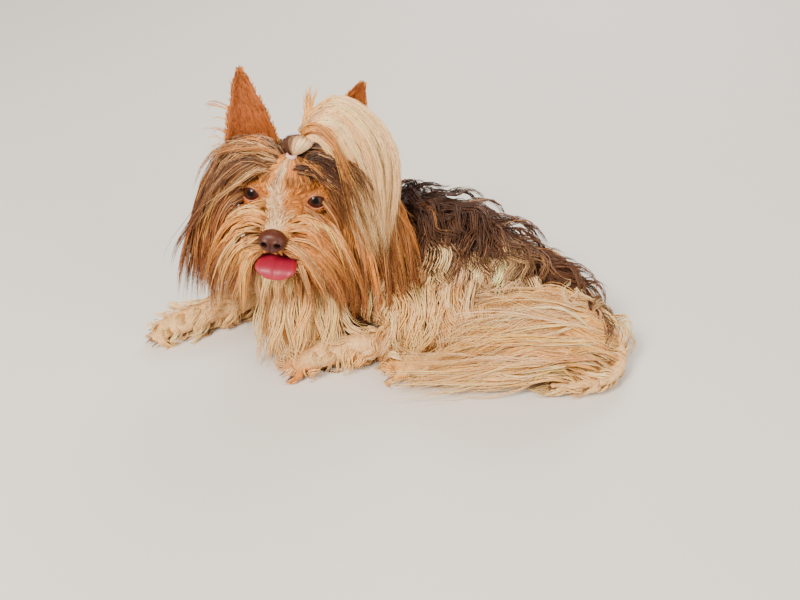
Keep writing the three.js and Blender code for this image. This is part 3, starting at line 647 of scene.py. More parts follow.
def settled(paths, look, chance):
    # Paths given from root to tip are sunk at the root and kept off the body and the floor
    count, stops = paths.shape[:2]
    t = np.linspace(0, 1, stops)[None]
    height, outward, _ = over(paths, look.get("field", headEggs))
    lift = look["lift"] * chance.uniform(0.5, 1.4, count)[:, None]
    up = mix(-lockLook["sink"], lift, ease(t, 0, 0.25)) - height
    up[:, 1:] = np.maximum(up[:, 1:], 0)
    paths = paths + outward * up[..., None]
    clearHeight, clearOut, _ = over(paths, allEggs)
    room = look.get("room", 2.5) * np.minimum(1, 2 * t)
    paths[:, 1:] += (clearOut * np.maximum(room - clearHeight, 0)[..., None])[:, 1:]
    paths[..., 2] = np.maximum(paths[..., 2], lockLook["floor"])
    return easedPaths(paths, look.get("easing", 2)), unit(easedPaths(outward, 2))


def comb(roots, ways, look, seed):
    # Locks combed over the skin from their roots
    chance = np.random.default_rng(seed)
    count, steps = len(roots), lockLook["steps"]
    vary = look.get("vary", 0.2)
    length = look["length"] * chance.uniform(1 - vary, 1 + vary, count)
    if "lengthAt" in look:
        length = length * look["lengthAt"](roots)
    lift = look["lift"] * chance.uniform(0.5, 1.3, count)
    at = roots.copy()
    go = unit(unit(ways) + chance.normal(0, look.get("tousle", 0), (count, 3)))
    paths, faces = [], []
    for i in range(steps + 1):
        t = i / steps
        height, outward, _ = over(at, look.get("field", skinEggs))
        want = mix(-lockLook["sink"], look.get("base", 1.0), ease(t, 0, 0.2)) + lift * ease(t, 0.05, 1)
        up = want - height
        at = at + outward * np.where((up > 0) | (i < 1), up, up * look.get("cling", 0.5))[:, None]
        if i:
            clearHeight, clearOut, _ = over(at, allEggs)
            room = look.get("room", 1.0) * min(1, 2 * t)
            at = at + clearOut * np.maximum(room - clearHeight, 0)[:, None]
        at[:, 2] = np.maximum(at[:, 2], lockLook["floor"])
        paths.append(at)
        faces.append(outward)
        go = go + downwards * (look.get("fall", 0.5) * 1.6 / steps)
        go = unit(go - outward * (np.sum(go * outward, 1) * look.get("cling", 0.5))[:, None])
        at = at + go * (length / steps)[:, None]
    paths, faces = easedPaths(np.stack(paths, 1)), np.stack(faces, 1)
    return swayed(paths, faces, look, chance), faces


def hang(roots, tips, look, seed):
    # Locks that hang from roots to given tips, bowed aside on the way
    chance = np.random.default_rng(seed)
    bow = np.broadcast_to(look.get("bow", spot(0, 0, 0)), roots.shape)
    middle = mix(roots, tips, look.get("bowAt", 0.4)) + bow
    t = np.linspace(0, 1, lockLook["steps"] + 1)[None, :, None]
    line = mix(mix(roots[:, None], middle[:, None], t), mix(middle[:, None], tips[:, None], t), t)
    paths, faces = settled(line, look, chance)
    return swayed(paths, faces, look, chance), faces


def drape(guides, look, count, seed):
    # Locks that follow guide strands, each mixed from its two neighbours, layer over layer
    chance = np.random.default_rng(seed)
    guides = np.asarray(guides, float)
    low, high = look.get("across", (0, 1))
    u = mix(low, high, (np.arange(count) + chance.random(count)) / count)
    layer = chance.random(count)
    t = np.linspace(0, 1, lockLook["steps"] + 1)
    lines, beside = (
        curve(curve(guides.swapaxes(0, 1), shares).swapaxes(0, 1), t)
        for shares in (u, np.clip(u + 0.04, 0, 1))
    )
    beside = np.where((u > 0.96)[:, None, None], lines + guides[-1, 2] - guides[-2, 2], beside)
    way = unit(np.cross(unit(np.gradient(lines, axis=1)), beside - lines))
    away = lines - look.get("middle", headPlace["centre"])
    way = way * np.sign(np.sum(way * away, -1).mean(1))[:, None, None]
    inwards = look.get("thick", 8) * (1 - layer)[:, None] * ease(t, 0, 0.4)[None]
    lines = lines - way * inwards[..., None]
    rootShift = chance.normal(0, 1, (count, 3)) * spot(*look.get("rootSpread", (4, 4, 4)))
    tipShift = chance.normal(0, 1, (count, 3)) * spot(*look.get("tipSpread", (4, 4, 4)))
    lines = lines + rootShift[:, None] * (1 - ease(t, 0, 0.5))[None, :, None]
    lines = lines + tipShift[:, None] * ease(t, 0.3, 1)[None, :, None]
    if look.get("free"):
        paths, faces = lines, way
        clearHeight, clearOut, _ = over(paths, allEggs)
        push = np.maximum(look.get("room", 2) - clearHeight, 0) * ease(t, 0.05, 0.3)[None]
        paths = easedPaths(paths + clearOut * push[..., None], 2)
    else:
        paths, faces = settled(lines, look, chance)
        faces = unit(mix(faces, way, ease(t, 0.1, 0.5)[None, :, None]))
    return swayed(paths, faces, look, chance), faces, layer


# Hairs of a lock: each follows the lock's path at its own place in it, and all close up at the tip
def fill(paths, faces, look, seed):
    chance = np.random.default_rng(seed)
    locks, hairs = len(paths), look["hairs"]
    total, rows = locks * hairs, look.get("rows", 7)
    lockOf = np.repeat(np.arange(locks), hairs)
    reach = chance.uniform(look.get("shortest", 0.72), 1.0, total)
    t = np.linspace(0, 1, rows)
    share = t[None] * reach[:, None]
    at = share * (paths.shape[1] - 1)
    low = np.minimum(at.astype(int), paths.shape[1] - 2)
    part = (at - low)[..., None]
    pick = lockOf[:, None]
    line = mix(paths[pick, low], paths[pick, low + 1], part)
    face = unit(mix(faces[pick, low], faces[pick, low + 1], part))
    side = unit(np.cross(unit(np.gradient(line, axis=1)), face))
    angle = chance.uniform(0, 2 * math.pi, total)
    far = np.sqrt(chance.random(total))
    across = (np.cos(angle) * far * look["halfWidth"])[:, None]
    above = (np.abs(np.sin(angle)) * far * look["halfThick"])[:, None]
    close = mix(1.0, look.get("close", 0.35), ease(share, 0.25, 1.0))
    offset = side * (across * close)[..., None] + face * (above * close * ease(t, 0, 0.3)[None])[..., None]
    grown = look.get("frizz", 0.5) * ease(t, 0.1, 0.8)[None]
    for wayTo, size in ((side, 1.0), (face, 0.6)):
        phase = chance.random(total)[:, None]
        speed = chance.uniform(0.3, 0.16 * (rows - 1), total)[:, None]
        offset = offset + wayTo * (size * grown * np.sin(2 * math.pi * (speed * t[None] + phase)))[..., None]
    stray = chance.random(total) < look.get("strays", 0.06)
    strayWay = unit(chance.normal(size=(total, 3))) * (stray * look.get("strayReach", 4.0))[:, None]
    line = line + offset + strayWay[:, None] * (t[None, :, None] ** 2)
    if look.get("rooted", True):
        height, outward, _ = over(line[:, 0], skinEggs)
        line[:, 0] = line[:, 0] - outward * (height + lockLook["sink"] * 0.6)[:, None]
    half = look["hair"] * chance.uniform(0.7, 1.25, total) * np.where(stray, 0.75, 1.0)
    return {"paths": line, "faces": face, "half": half, "lockOf": lockOf, "locks": locks}


# Colours of the hairs: the marking of their place, streaks by lock and by hair, darker or paler ends, painted
# shade on the lower layers of a drape and near the roots
def tint(hairs, look, seed, layer=None):
    chance = np.random.default_rng(seed)
    total, rows = hairs["paths"].shape[:2]
    t = np.linspace(0, 1, rows)[None, :, None]
    paint = look.get("paint")
    if isinstance(paint, str):
        root = np.broadcast_to(tones[paint], (total, 3)).copy()
    elif paint is not None:
        root = paint(hairs)
    else:
        root = markings(hairs["paths"][:, int(look.get("sample", 0) * (rows - 1))])
    for name, lockShare, hairShare, strength in look.get("streaks", []):
        lockHit = (chance.random(hairs["locks"]) < lockShare)[hairs["lockOf"]]
        hit = (lockHit | (chance.random(total) < hairShare))[:, None] * strength
        root = mix(root, tones[name], hit)
    # Painted shade: hairs of the lower layers of a drape are mixed towards a darker tone, as shade under the
    # outer layers
    if layer is not None and look.get("under"):
        name, strength = look["under"]
        root = mix(root, tones[name], ((1 - layer) ** 1.5 * strength)[hairs["lockOf"], None])
    colour = np.repeat(root[:, None], rows, 1)
    if look.get("tips"):
        name, start, strength = look["tips"]
        strengths = strength * chance.uniform(0.3, 1.2, total)[:, None, None]
        colour = mix(colour, tones[name], ease(t, start, 1.0) * np.clip(strengths, 0, 1))
    lockShade = chance.normal(0, look.get("lockShade", 0.1), hairs["locks"])[hairs["lockOf"]]
    hairShade = chance.normal(0, look.get("hairShade", 0.12), total)
    # Painted shade: each hair is darker near its root, by its look's rootShade, and grows to full brightness
    # by 0.45 of its length
    rise = mix(look.get("rootShade", 0.75), 1.05, ease(t, 0, 0.45))
    shade = np.exp(lockShade + hairShade)[:, None, None] * rise
    return np.clip(colour * shade, 0.002, 0.95)


def hairTriangles(rows):
    faces = [(0, 1, 2)]
    for row in range(rows - 2):
        for c in range(3):
            a, b = 3 * row + c, 3 * row + (c + 1) % 3
            faces += [(a, b + 3, b), (a, a + 3, b + 3)]
    last, tip = 3 * (rows - 2), 3 * (rows - 1)
    faces += [(last + c, tip, last + (c + 1) % 3) for c in range(3)]
    return np.array(faces)


# A hair's patch on the unwrap, its lowest height, and its edges' way below and above its line
hairShape = {"patch": 0.003, "lowest": 0.1, "below": 0.35, "above": 0.75}
nearSide = {"from": -108, "share": 0.5}  # hair past this y is drawn in
coatCount = {}


def strandMesh(hairs, colours):
    # Points, triangles, colours and map of one batch of hairs
    line, half, patch = hairs["paths"], hairs["half"], hairShape["patch"]
    past = np.minimum(line[..., 1] - nearSide["from"], 0)
    line[..., 1] -= past * (1 - nearSide["share"])
    total, rows = line.shape[:2]
    t = np.linspace(0, 1, rows)
    along = unit(np.gradient(line, axis=1))
    side = unit(np.cross(along, hairs["faces"]))
    up = np.cross(side, along)
    swell = (0.55 + 0.45 * ease(t, 0, 0.25)) * (1 - ease(t, 0.45, 1.0) * 0.75)
    wide = (half[:, None] * swell[None])[..., None]
    below, above = up * hairShape["below"] * wide, up * hairShape["above"] * wide
    ring = np.stack([line - side * wide - below, line + side * wide - below, line + above], 2)
    places = np.concatenate([ring[:, :-1].reshape(total, -1, 3), line[:, -1:]], 1)
    places[..., 2] = np.maximum(places[..., 2], hairShape["lowest"])
    faces = hairTriangles(rows)[None] + (np.arange(total) * places.shape[1])[:, None, None]
    tints = np.concatenate([np.repeat(colours[:, :-1], 3, 1), colours[:, -1:]], 1)
    rootUv = np.array([faceUv[skinTree.find_nearest(Vector(root))[2]] for root in line[:, 0]])
    acrossUv = np.concatenate([np.tile([-0.5, 0.0, 0.5], rows - 1), [0.0]])
    alongUv = np.concatenate([np.repeat(t[:-1], 3), [1.0]]) - 0.5
    jitter = np.random.default_rng(total).uniform(-0.5, 0.5, (total, 2)) * patch
    uv = np.clip(rootUv + jitter, patch, 1 - patch)[:, None] + np.stack([acrossUv, alongUv], 1) * patch
    return [made.reshape(-1, made.shape[-1]) for made in (places, faces, tints, uv)]


def coatPiece(name, batches, slot, *replaced):
    strands = [strandMesh(*parts) for parts in batches]
    starts = np.cumsum([0] + [len(made[0]) for made in strands])
    places, tints, uv = (np.concatenate([made[k] for made in strands]) for k in (0, 2, 3))
    faces = np.concatenate([made[1] + start for made, start in zip(strands, starts)])
    mesh = bpy.data.meshes.new(name)
    mesh.vertices.add(len(places))
    mesh.vertices.foreach_set("co", (places * milli).astype(np.float32).ravel())
    mesh.loops.add(faces.size)
    mesh.loops.foreach_set("vertex_index", faces.ravel().astype(np.int32))
    mesh.polygons.add(len(faces))
    mesh.polygons.foreach_set("loop_start", np.arange(0, faces.size, 3, dtype=np.int32))
    mesh.update(calc_edges=True)
    paintPoints(mesh, tints)
    layer = mesh.uv_layers.new(name="OFBake")
    layer.data.foreach_set("uv", uv[faces.ravel()].astype(np.float32).ravel())
    made = pieceFrom(name, mesh, hair)
    for cadNode in replaced:
        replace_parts(made, cadNode)
    coatCount[name] = len(faces)
    print(name, len(faces), "faces")


def batch(paths, faces, look, seed, layer=None):
    hairs = fill(paths, faces, look, seed)
    return hairs, tint(hairs, look, seed + 1, layer)


def facingBatch(paths, way, look, seed):
    return batch(paths, np.broadcast_to(way, paths.shape).copy(), look, seed)


def combed(roots, ways, look, seed):
    return batch(*comb(roots, ways, look, seed), look, seed + 1)


def draped(guides, look, count, seed):
    paths, faces, layer = drape(guides, look, count, seed)
    return batch(paths, faces, look, seed + 1, layer)


def strandsAt(guides, s=1, aside=0):
    # Guides given as left, up, forward of the head, mirrored where s is -1
    strands = np.array(guides, float)
    return inHead(s * strands[..., 0] + aside, strands[..., 1], strands[..., 2])


def flowAt(points, along, out, fall):
    # The way of the coat: along the limb, outwards and down
    _, outward, nearest = over(points, skinEggs)
    return skinEggs["axes"][nearest][:, 1] * along + outward * out + downwards * fall


# Coat of the body: wavy, from the spine down both sides and back
bodyLook = {"length": 54, "lift": 6, "fall": 0.8, "cling": 0.6, "wave": 5.4, "waves": 1.9, "curl": 3.4,
            "drift": (0.03, 0.02, 0.03), "scatter": 0.45, "tousle": 0.3, "hairs": 12, "rows": 11,
            "halfWidth": 5.6, "halfThick": 2.6, "hair": 0.44, "close": 0.35, "frizz": 0.9, "strays": 0.1,
            "lockShade": 0.16, "hairShade": 0.14, "rootShade": 0.72, "sample": 0.55,
            "streaks": [("ash", 0.08, 0.08, 0.4), ("gold", 0.0, 0.03, 0.4)], "tips": ("ash", 0.5, 0.3)}
flankSize = {"low": 10, "thigh": 34, "middle": -30}
outSide = np.einsum("ni,ni->n", faceOut, skinEggs["axes"][faceEggs][:, 0])
thigh = partWeight("hindlegLeft", "hindlegRight") * (faceHeight > flankSize["thigh"])
for name, s, count, seed in (("coat_flank_near", 1, 240, 100), ("coat_flank_far", -1, 165, 110)):
    look = bodyLook if s > 0 else {**bodyLook, "hairs": 11, "rows": 8, "waves": 1.2}
    sided = (outSide * s >= 0) * partWeight("torso") * (faceHeight > flankSize["low"])
    sided = sided + thigh * (np.sign(flankSize["middle"] - faceCentres[:, 1]) == s)
    roots = spreadRoots(count, sided, seed)
    ways = flowAt(roots, 0.7, spot(0.7, 0.7, 0), 0.5)
    coatPiece(name, [combed(roots, ways, look, seed + 1)], "coat_brown")

# Cream hair that hangs from the lower flank to the floor, between elbow and thigh
skirtGuides = [
    [(-34, -46, 50), (-32, -64, 40), (-30, -76, 22), (-28, -80, 8)],
    [(-6, -50, 52), (-2, -70, 42), (2, -82, 24), (2, -86, 8)],
    [(22, -54, 52), (26, -72, 44), (28, -84, 30), (24, -90, 16)],
    [(46, -58, 54), (48, -74, 46), (48, -84, 36), (44, -90, 24)],
    [(64, -54, 64), (68, -70, 61), (68, -80, 53), (62, -88, 42)],
]
skirtLook = {**bodyLook, "lift": 3, "thick": 12, "rows": 9, "paint": "cream", "shortest": 0.6, "wave": 5,
             "waves": 1.5, "scatter": 0.9, "frizz": 1.2, "hairs": 12, "under": ("straw", 0.45),
             "middle": spot(10, -10, 40), "rootSpread": (6, 3, 6), "tipSpread": (7, 4, 5),
             "streaks": [("white", 0.3, 0.2, 0.8), ("straw", 0.15, 0.15, 0.6)], "tips": ("straw", 0.6, 0.4),
             "field": skinEggs, "rootShade": 0.95, "lockShade": 0.05}
coatPiece("coat_skirt", [draped(skirtGuides, skirtLook, 70, 150)], "coat_cream")

# Coat of the legs: soft and full, shorter on the paws
legLook = {"length": 30, "lift": 5.0, "fall": 0.9, "cling": 0.55, "wave": 3.0, "waves": 0.8, "curl": 1.6,
           "drift": (0.03, 0.03, 0.03), "scatter": 0.6, "tousle": 0.35, "hairs": 12, "rows": 7,
           "halfWidth": 4.4, "halfThick": 2.0, "hair": 0.36, "close": 0.4, "frizz": 1.1, "strays": 0.12,
           "strayReach": 5, "lockShade": 0.05, "hairShade": 0.08, "rootShade": 0.95, "sample": 0.5,
           "streaks": [("straw", 0.12, 0.12, 0.5), ("white", 0.15, 0.15, 0.6)]}
pawCoat = {"length": 0.36, "near": 12, "far": 50, "sole": 3}


def towardsPaw(points):
    paws = [flesh[part]["limbs"][2][-1][:3] for part in legParts]
    low = np.min([np.linalg.norm(points - spot(*paw), axis=1) for paw in paws], 0)
    return mix(pawCoat["length"], 1.0, ease(low, pawCoat["near"], pawCoat["far"]))


look = {**legLook, "lengthAt": towardsPaw}
for name, parts, count, seed in (
    ("coat_forelegs", legParts[:2], 210, 200), ("coat_hindlegs", legParts[2:], 175, 220)
):
    roots = spreadRoots(count, partWeight(*parts) * (faceHeight > pawCoat["sole"]), seed)
    coatPiece(name, [combed(roots, flowAt(roots, 0.8, 0.3, 0.4), look, seed + 1)], "coat_cream")

# Neck and chest, down to the floor between the forelegs
neckLook = {**legLook, "length": 46, "lift": 8, "wave": 2.2, "curl": 1.2, "hairs": 14, "rows": 7,
            "tousle": 0.18, "halfWidth": 5, "hair": 0.36, "fall": 1.0, "rootShade": 0.9,
            "streaks": [("white", 0.2, 0.2, 0.6), ("straw", 0.2, 0.2, 0.6)], "tips": ("straw", 0.7, 0.3)}
roots = spreadRoots(148, partWeight("neck"), 300)
ways = unit(roots - headPlace["centre"]) * 0.6 + downwards * 0.6
bibGuides = [
    [(-114, -44, 62), (-119, -62, 42), (-122, -72, 20), (-124, -76, 4)],
    [(-98, -54, 64), (-101, -70, 44), (-103, -81, 20), (-104, -86, 4)],
    [(-80, -54, 64), (-78, -70, 44), (-76, -80, 20), (-76, -84, 6)],
    [(-66, -46, 62), (-58, -62, 44), (-54, -70, 26), (-52, -74, 14)],
]
bibLook = {**neckLook, "thick": 18, "wave": 3, "waves": 1, "rows": 8, "field": skinEggs, "shortest": 0.6,
           "lift": 2, "paint": "cream", "under": ("straw", 0.6), "middle": spot(-90, -10, 40),
           "tipSpread": (5, 4, 4)}
batches = [combed(roots, ways, neckLook, 301), draped(bibGuides, bibLook, 34, 310)]
coatPiece("coat_neck", batches, "coat_cream")

# Tail plume: the guides run from the bone over the thigh, and from there down to the floor
plumeGuides = [
    [(108, -62, 40), (103, -72, 57), (82, -78, 67), (65, -82, 70), (48, -86, 65)],
    [(120, -68, 31), (104, -82, 51), (76, -88, 61), (48, -92, 58), (28, -94, 48)],
    [(128, -78, 22), (102, -90, 42), (66, -96, 50), (38, -98, 44), (20, -99, 31)],
    [(124, -88, 16), (98, -98, 32), (62, -103, 36), (26, -103, 26), (-2, -102, 14)],
    [(112, -95, 14), (84, -99, 25), (46, -102, 21), (8, -100, 13), (-30, -94, 5)],
    [(94, -97, 10), (74, -100, 17), (48, -103, 13), (18, -103, 8), (-10, -100, 4)],
]
tailLook = {"lift": 2, "room": 3, "thick": 12, "wave": 6.0, "waves": 1.1, "curl": 1.5, "hairs": 24,
            "rows": 9, "halfWidth": 4.4, "halfThick": 2.2, "hair": 0.36, "close": 0.3, "frizz": 1.3,
            "strays": 0.15, "strayReach": 9, "paint": "straw", "field": tailEggs, "rootSpread": (3, 3, 3),
            "tipSpread": (13, 4, 4),
            "streaks": [("cream", 0.4, 0.3, 0.9), ("white", 0.15, 0.15, 0.8), ("gold", 0.03, 0.05, 0.4)],
            "rootShade": 0.95, "shortest": 0.6, "under": ("gold", 0.2), "middle": spot(80, -80, 0),
            "scatter": 0.9}
arcLook = {**tailLook, "hairs": 6, "halfWidth": 1.6, "wave": 8, "waves": 0.8, "curl": 4,
           "tipSpread": (22, 7, 10), "thick": 3, "paint": "white"}
batches = [draped(plumeGuides, tailLook, 72, 400), draped(plumeGuides, arcLook, 44, 410)]
# Shorter hair all round the bone
boneLook = {**legLook, "length": 24, "lift": 3.5, "tousle": 0.2, "paint": "cream", "rows": 6, "fall": 0.4,
            "field": tailEggs, "wave": 1.5, "curl": 0.6}
roots = spreadRoots(90, partWeight("tail"), 420)
ways = spot(-0.75, 0.25, -0.1) + (roots - spot(92, -80, 10)) * 0.008
batches.append(combed(roots, ways, boneLook, 421))
coatPiece("coat_tail", batches, "coat_cream")

# Head: short hair of the face, away from the eyes and the nose, up over the brows and down the cheeks
faceLook = {"length": 13, "lift": 0.9, "fall": 0.1, "cling": 0.95, "wave": 0.5, "waves": 0.5, "hairs": 9,
            "rows": 5, "halfWidth": 2.0, "halfThick": 0.6, "hair": 0.22, "close": 0.6, "frizz": 0.25,
            "room": 0.4, "field": headEggs, "lockShade": 0.05, "hairShade": 0.09, "rootShade": 0.9,
            "base": 0.5, "strayReach": 2, "strays": 0.03,
            "streaks": [("straw", 0.08, 0.1, 0.4), ("cocoa", 0.03, 0.05, 0.4)]}
# Its length is less at the eyes and the nose, and more on the cheeks
faceSize = {"eyeRim": 5, "noseRim": 8, "full": 16, "least": 0.4, "brow": 0.9, "cheek": 1.9}


def eyeGap(left, up):
    return np.hypot(np.abs(left) - eyeSize["side"], up - eyeSize["up"])


def faceLength(points):
    left, up, forward = toHead(points)
    noseGap = np.hypot(np.hypot(left, up - noseSize["up"]), forward - noseSize["forward"])
    room = np.minimum(eyeGap(left, up) - faceSize["eyeRim"], noseGap - faceSize["noseRim"])
    cheek = ease(np.abs(left), 8, 18) * (1 - ease(up, -6, 2))
    whole = mix(faceSize["brow"], faceSize["cheek"], cheek)
    return mix(faceSize["least"], whole, ease(room, 0, faceSize["full"]))


def faceFlow(points):
    left, up, _ = toHead(points)
    s = np.where(left < -1, -1.0, 1.0)
    aside = ease(np.abs(left + 1), 2, 12)
    brow = ease(up, 2, 9)
    outwardWay = s * mix(mix(0.15, 1.0, aside), 0.2, brow)
    upwards = mix(mix(0.5, -0.75, aside), 1.0, brow)
    ways = np.stack([outwardWay, upwards, mix(-0.85, -0.3, aside)], -1)
    gap = eyeGap(left, up)
    radial = np.stack([s * (np.abs(left) - eyeSize["side"]), up - eyeSize["up"], 0 * up], -1)
    ways = mix(ways, radial / (gap[:, None] + 0.1), (1 - ease(gap, 7, 13))[:, None] * 0.8)
    return headWay(*ways.T)


weight = partWeight("head") * ease(faceForward, -4, 8) * mix(1.0, 1.6, ease(faceForward, 10, 30))
weight = weight * (1 - ease(faceUp, 14, 24))
weight = weight * ((eyeGap(faceLeft, faceUp) > 7) | (faceForward < 12))
weight = weight * (np.hypot(faceLeft, faceUp - noseSize["up"]) + 20 * (faceForward < 45) > 9)
mouth = (np.abs(faceLeft - 2) < 13) & (faceUp < -24) & (faceUp > -35) & (faceForward > 18)
roots = spreadRoots(590, weight * ~mouth, 500)
batches = [combed(roots, faceFlow(roots), {**faceLook, "lengthAt": faceLength}, 501)]

# Cheeks: longer hair that falls outwards below the eyes
cheekLook = {**faceLook, "length": 30, "lift": 3.0, "fall": 0.6, "cling": 0.6, "wave": 1.2, "hairs": 12,
             "rows": 6, "halfWidth": 3, "halfThick": 1.4, "hair": 0.28, "close": 0.35, "frizz": 0.5,
             "rootShade": 0.65,
             "streaks": [("straw", 0.3, 0.2, 0.6), ("russet", 0.08, 0.08, 0.6), ("gold", 0.2, 0.2, 0.6)]}
cheeks = (np.abs(faceLeft) > 9) * (faceUp < -5) * (faceUp > -18) * (faceForward > -2) * (faceForward < 40)
roots = spreadRoots(130, partWeight("head") * cheeks, 505)
batches.append(combed(roots, headWay(np.sign(toHead(roots)[0]), -0.7, -0.1), cheekLook, 506))
coatPiece("coat_face", batches, "coat_gold")

# Forehead: from the brows up into the front band
bandFront, bandBack = inHead(3, 30, 17), inHead(8, 41, 7)
foreheadLook = {"hairs": 13, "rows": 7, "halfWidth": 2.3, "halfThick": 0.9, "hair": 0.26, "close": 0.25,
                "frizz": 0.35, "shortest": 0.95, "strays": 0.05, "strayReach": 2.5, "rootShade": 0.8,
                "lift": 1.8, "room": 1.4, "easing": 1, "lockShade": 0.08,
                "streaks": [("straw", 0.12, 0.1, 0.5), ("cocoa", 0.1, 0.08, 0.5)]}
weight = partWeight("head") * ease(faceUp, 8, 14) * ease(faceForward, 2, 10) * (np.abs(faceLeft - 2) < 26)
roots = spreadRoots(128, weight, 510)
tips = bandFront + np.random.default_rng(511).normal(0, 0.7, roots.shape)
foreheadLook["bow"] = headWay(toHead(roots)[0] * 0.22, 2.5, 3)
paths, faces = hang(roots, tips, foreheadLook, 512)
coatPiece("coat_forehead", [batch(paths, faces, foreheadLook, 513)], "coat_gold")

# Moustache: guides from the lip back to the cheek as left, up, forward; they fall soon after their roots
moustacheGuides = [
    [(8, -26, 42), (13, -33, 47), (18, -46, 44), (21, -62, 38), (21, -74, 34)],
    [(7, -19, 48), (17, -19, 54), (27, -31, 50), (34, -50, 43), (37, -70, 37)],
    [(12, -13, 40), (24, -14, 45), (34, -27, 43), (41, -48, 38), (43, -72, 34)],
    [(18, -9, 30), (31, -11, 34), (41, -28, 35), (46, -52, 32), (47, -76, 31)],
    [(24, -8, 18), (37, -11, 24), (46, -30, 27), (50, -55, 27), (50, -80, 28)],
]
moustacheLook = {"lift": 2.0, "room": 2, "thick": 7, "wave": 1.6, "waves": 0.9, "hairs": 18, "rows": 8,
                 "halfWidth": 3.2, "halfThick": 1.5, "hair": 0.29, "close": 0.3, "frizz": 0.7, "strays": 0.1,
                 "strayReach": 5, "rootShade": 0.9, "rootSpread": (3, 3, 3), "tipSpread": (4, 4, 6),
                 "shortest": 0.6, "paint": "straw", "under": ("russet", 0.8), "lockShade": 0.12,
                 "hairShade": 0.14,
                 "streaks": [("cream", 0.3, 0.2, 0.7), ("gold", 0.25, 0.2, 0.7), ("russet", 0.08, 0.05, 0.6)],
                 "tips": ("russet", 0.6, 0.6)}
# Hair from the mouth's corners down to the jaw, painted russet with dark roots: partly russet of its own,
# partly painted shade around the tongue and under the lip
cornerGuides = [
    [(8, -30, 34), (11, -36, 37), (13, -47, 36), (15, -64, 32)],
    [(11, -28, 30), (17, -34, 34), (21, -46, 34), (24, -64, 31)],
    [(12, -24, 20), (21, -30, 25), (28, -44, 26), (32, -64, 26)],
    [(14, -20, 12), (23, -27, 15), (29, -42, 15), (32, -62, 14)],
    [(16, -14, 0), (27, -24, 3), (33, -42, 4), (36, -60, 4)],
]
shadedCornerLook = {**moustacheLook, "hairs": 16, "rows": 7, "thick": 5, "paint": "russet",
              "tips": ("gold", 0.5, 0.6), "streaks": [("gold", 0.25, 0.2, 0.6)], "rootShade": 0.6,
              "tipSpread": (4, 6, 4), "curl": 1}
# Straw hair that rolls over the cheek between the eye and the moustache
rollGuides = [
    [(7, -9, 44), (15, -8, 43), (25, -13, 40), (33, -28, 37), (37, -46, 35)],
    [(10, -5, 36), (19, -4, 36), (30, -10, 35), (38, -27, 34), (41, -48, 33)],
    [(15, -5, 27), (25, -7, 29), (36, -15, 30), (42, -33, 31), (45, -54, 31)],
]
rollLook = {**moustacheLook, "hairs": 15, "thick": 2, "lift": 1.5, "rootSpread": (2, 2, 3),
            "under": ("gold", 0.5), "tips": ("gold", 0.6, 0.5), "halfWidth": 2.6}
batches = []
for s in (1, -1):
    batches.append(draped(strandsAt(cornerGuides, s), shadedCornerLook, 30, 650 + s))
    batches.append(draped(strandsAt(rollGuides, s), rollLook, 12, 660 + s))
    lean = np.linspace(0, 1, 5)[:, None] * (4 if s > 0 else -1) * spot(1, 0, -1)
    # On the left the moustache is painted gold over more russet than on the right: partly darker strands of
    # its own, partly painted shade on that side of the face
    look = moustacheLook if s < 0 else {**moustacheLook, "paint": "gold", "under": ("russet", 0.9)}
    batches.append(draped(strandsAt(np.array(moustacheGuides) + lean, s), look, 52, 600 + s))
# Beard and chin
beardGuides = [
    [(s * 9, -36, 30), (s * 12, -44, 36), (s * 14, -60, 34), (s * 15, -76, 28)] for s in (-1, 0, 1)
]
beardLook = {**moustacheLook, "paint": "cream",
             "streaks": [("white", 0.25, 0.2, 0.6), ("straw", 0.25, 0.2, 0.7)], "under": ("straw", 0.6),
             "rootSpread": (3, 2, 7), "tipSpread": (4, 5, 6), "thick": 12}
batches.append(draped(strandsAt(beardGuides), beardLook, 36, 641))
coatPiece("coat_moustache", batches, "coat_gold")

# Curtains at the sides of the head, from before the ears down past the jaw
curtainGuides = {
    -1: [
        [(-27, 4, 20), (-36, -3, 27), (-43, -24, 33), (-45, -50, 36), (-40, -80, 36)],
        [(-28, 14, 12), (-42, 7, 21), (-50, -20, 28), (-53, -48, 31), (-50, -80, 31)],
        [(-28, 18, 4), (-48, 10, 14), (-57, -17, 19), (-62, -48, 22), (-61, -81, 24)],
        [(-28, 20, -8), (-52, 14, 2), (-62, -14, 8), (-70, -51, 11), (-74, -80, 13)],
        [(-22, 16, -20), (-46, 8, -22), (-58, -20, -16), (-64, -50, -10), (-66, -74, -4)],
    ],
    1: [
        [(27, 4, 17), (39, -10, 20), (46, -31, 24), (50, -55, 27), (51, -80, 26)],
        [(28, 14, 9), (48, -5, 12), (57, -36, 14), (63, -66, 16), (67, -93, 16)],
        [(28, 18, 0), (56, 4, 4), (71, -28, 5), (80, -60, 8), (85, -95, 14)],
        [(28, 20, -10), (58, 16, -8), (76, -6, -5), (87, -42, -2), (94, -84, 4)],
        [(22, 16, -20), (48, 10, -22), (62, -18, -18), (70, -50, -14), (76, -78, -6)],
    ],
}
curtainLook = {"lift": 3, "room": 8, "thick": 15, "wave": 2.0, "waves": 0.9, "hairs": 24, "rows": 9,
               "halfWidth": 4.2, "halfThick": 1.8, "hair": 0.34, "close": 0.3, "frizz": 0.9, "strays": 0.1,
               "strayReach": 7, "rootShade": 0.85, "rootSpread": (3, 5, 5), "tipSpread": (5, 5, 8),
               "shortest": 0.66, "paint": "amber", "under": ("chocolate", 0.85), "lockShade": 0.18,
               "hairShade": 0.16,
               "streaks": [("straw", 0.14, 0.14, 0.8), ("ash", 0.3, 0.2, 0.6), ("cocoa", 0.25, 0.2, 0.8)],
               "tips": ("russet", 0.55, 0.8)}
sunlit = [("straw", 0.2, 0.2, 0.8), ("gold", 0.35, 0.25, 0.7), ("ash", 0.15, 0.1, 0.5)]
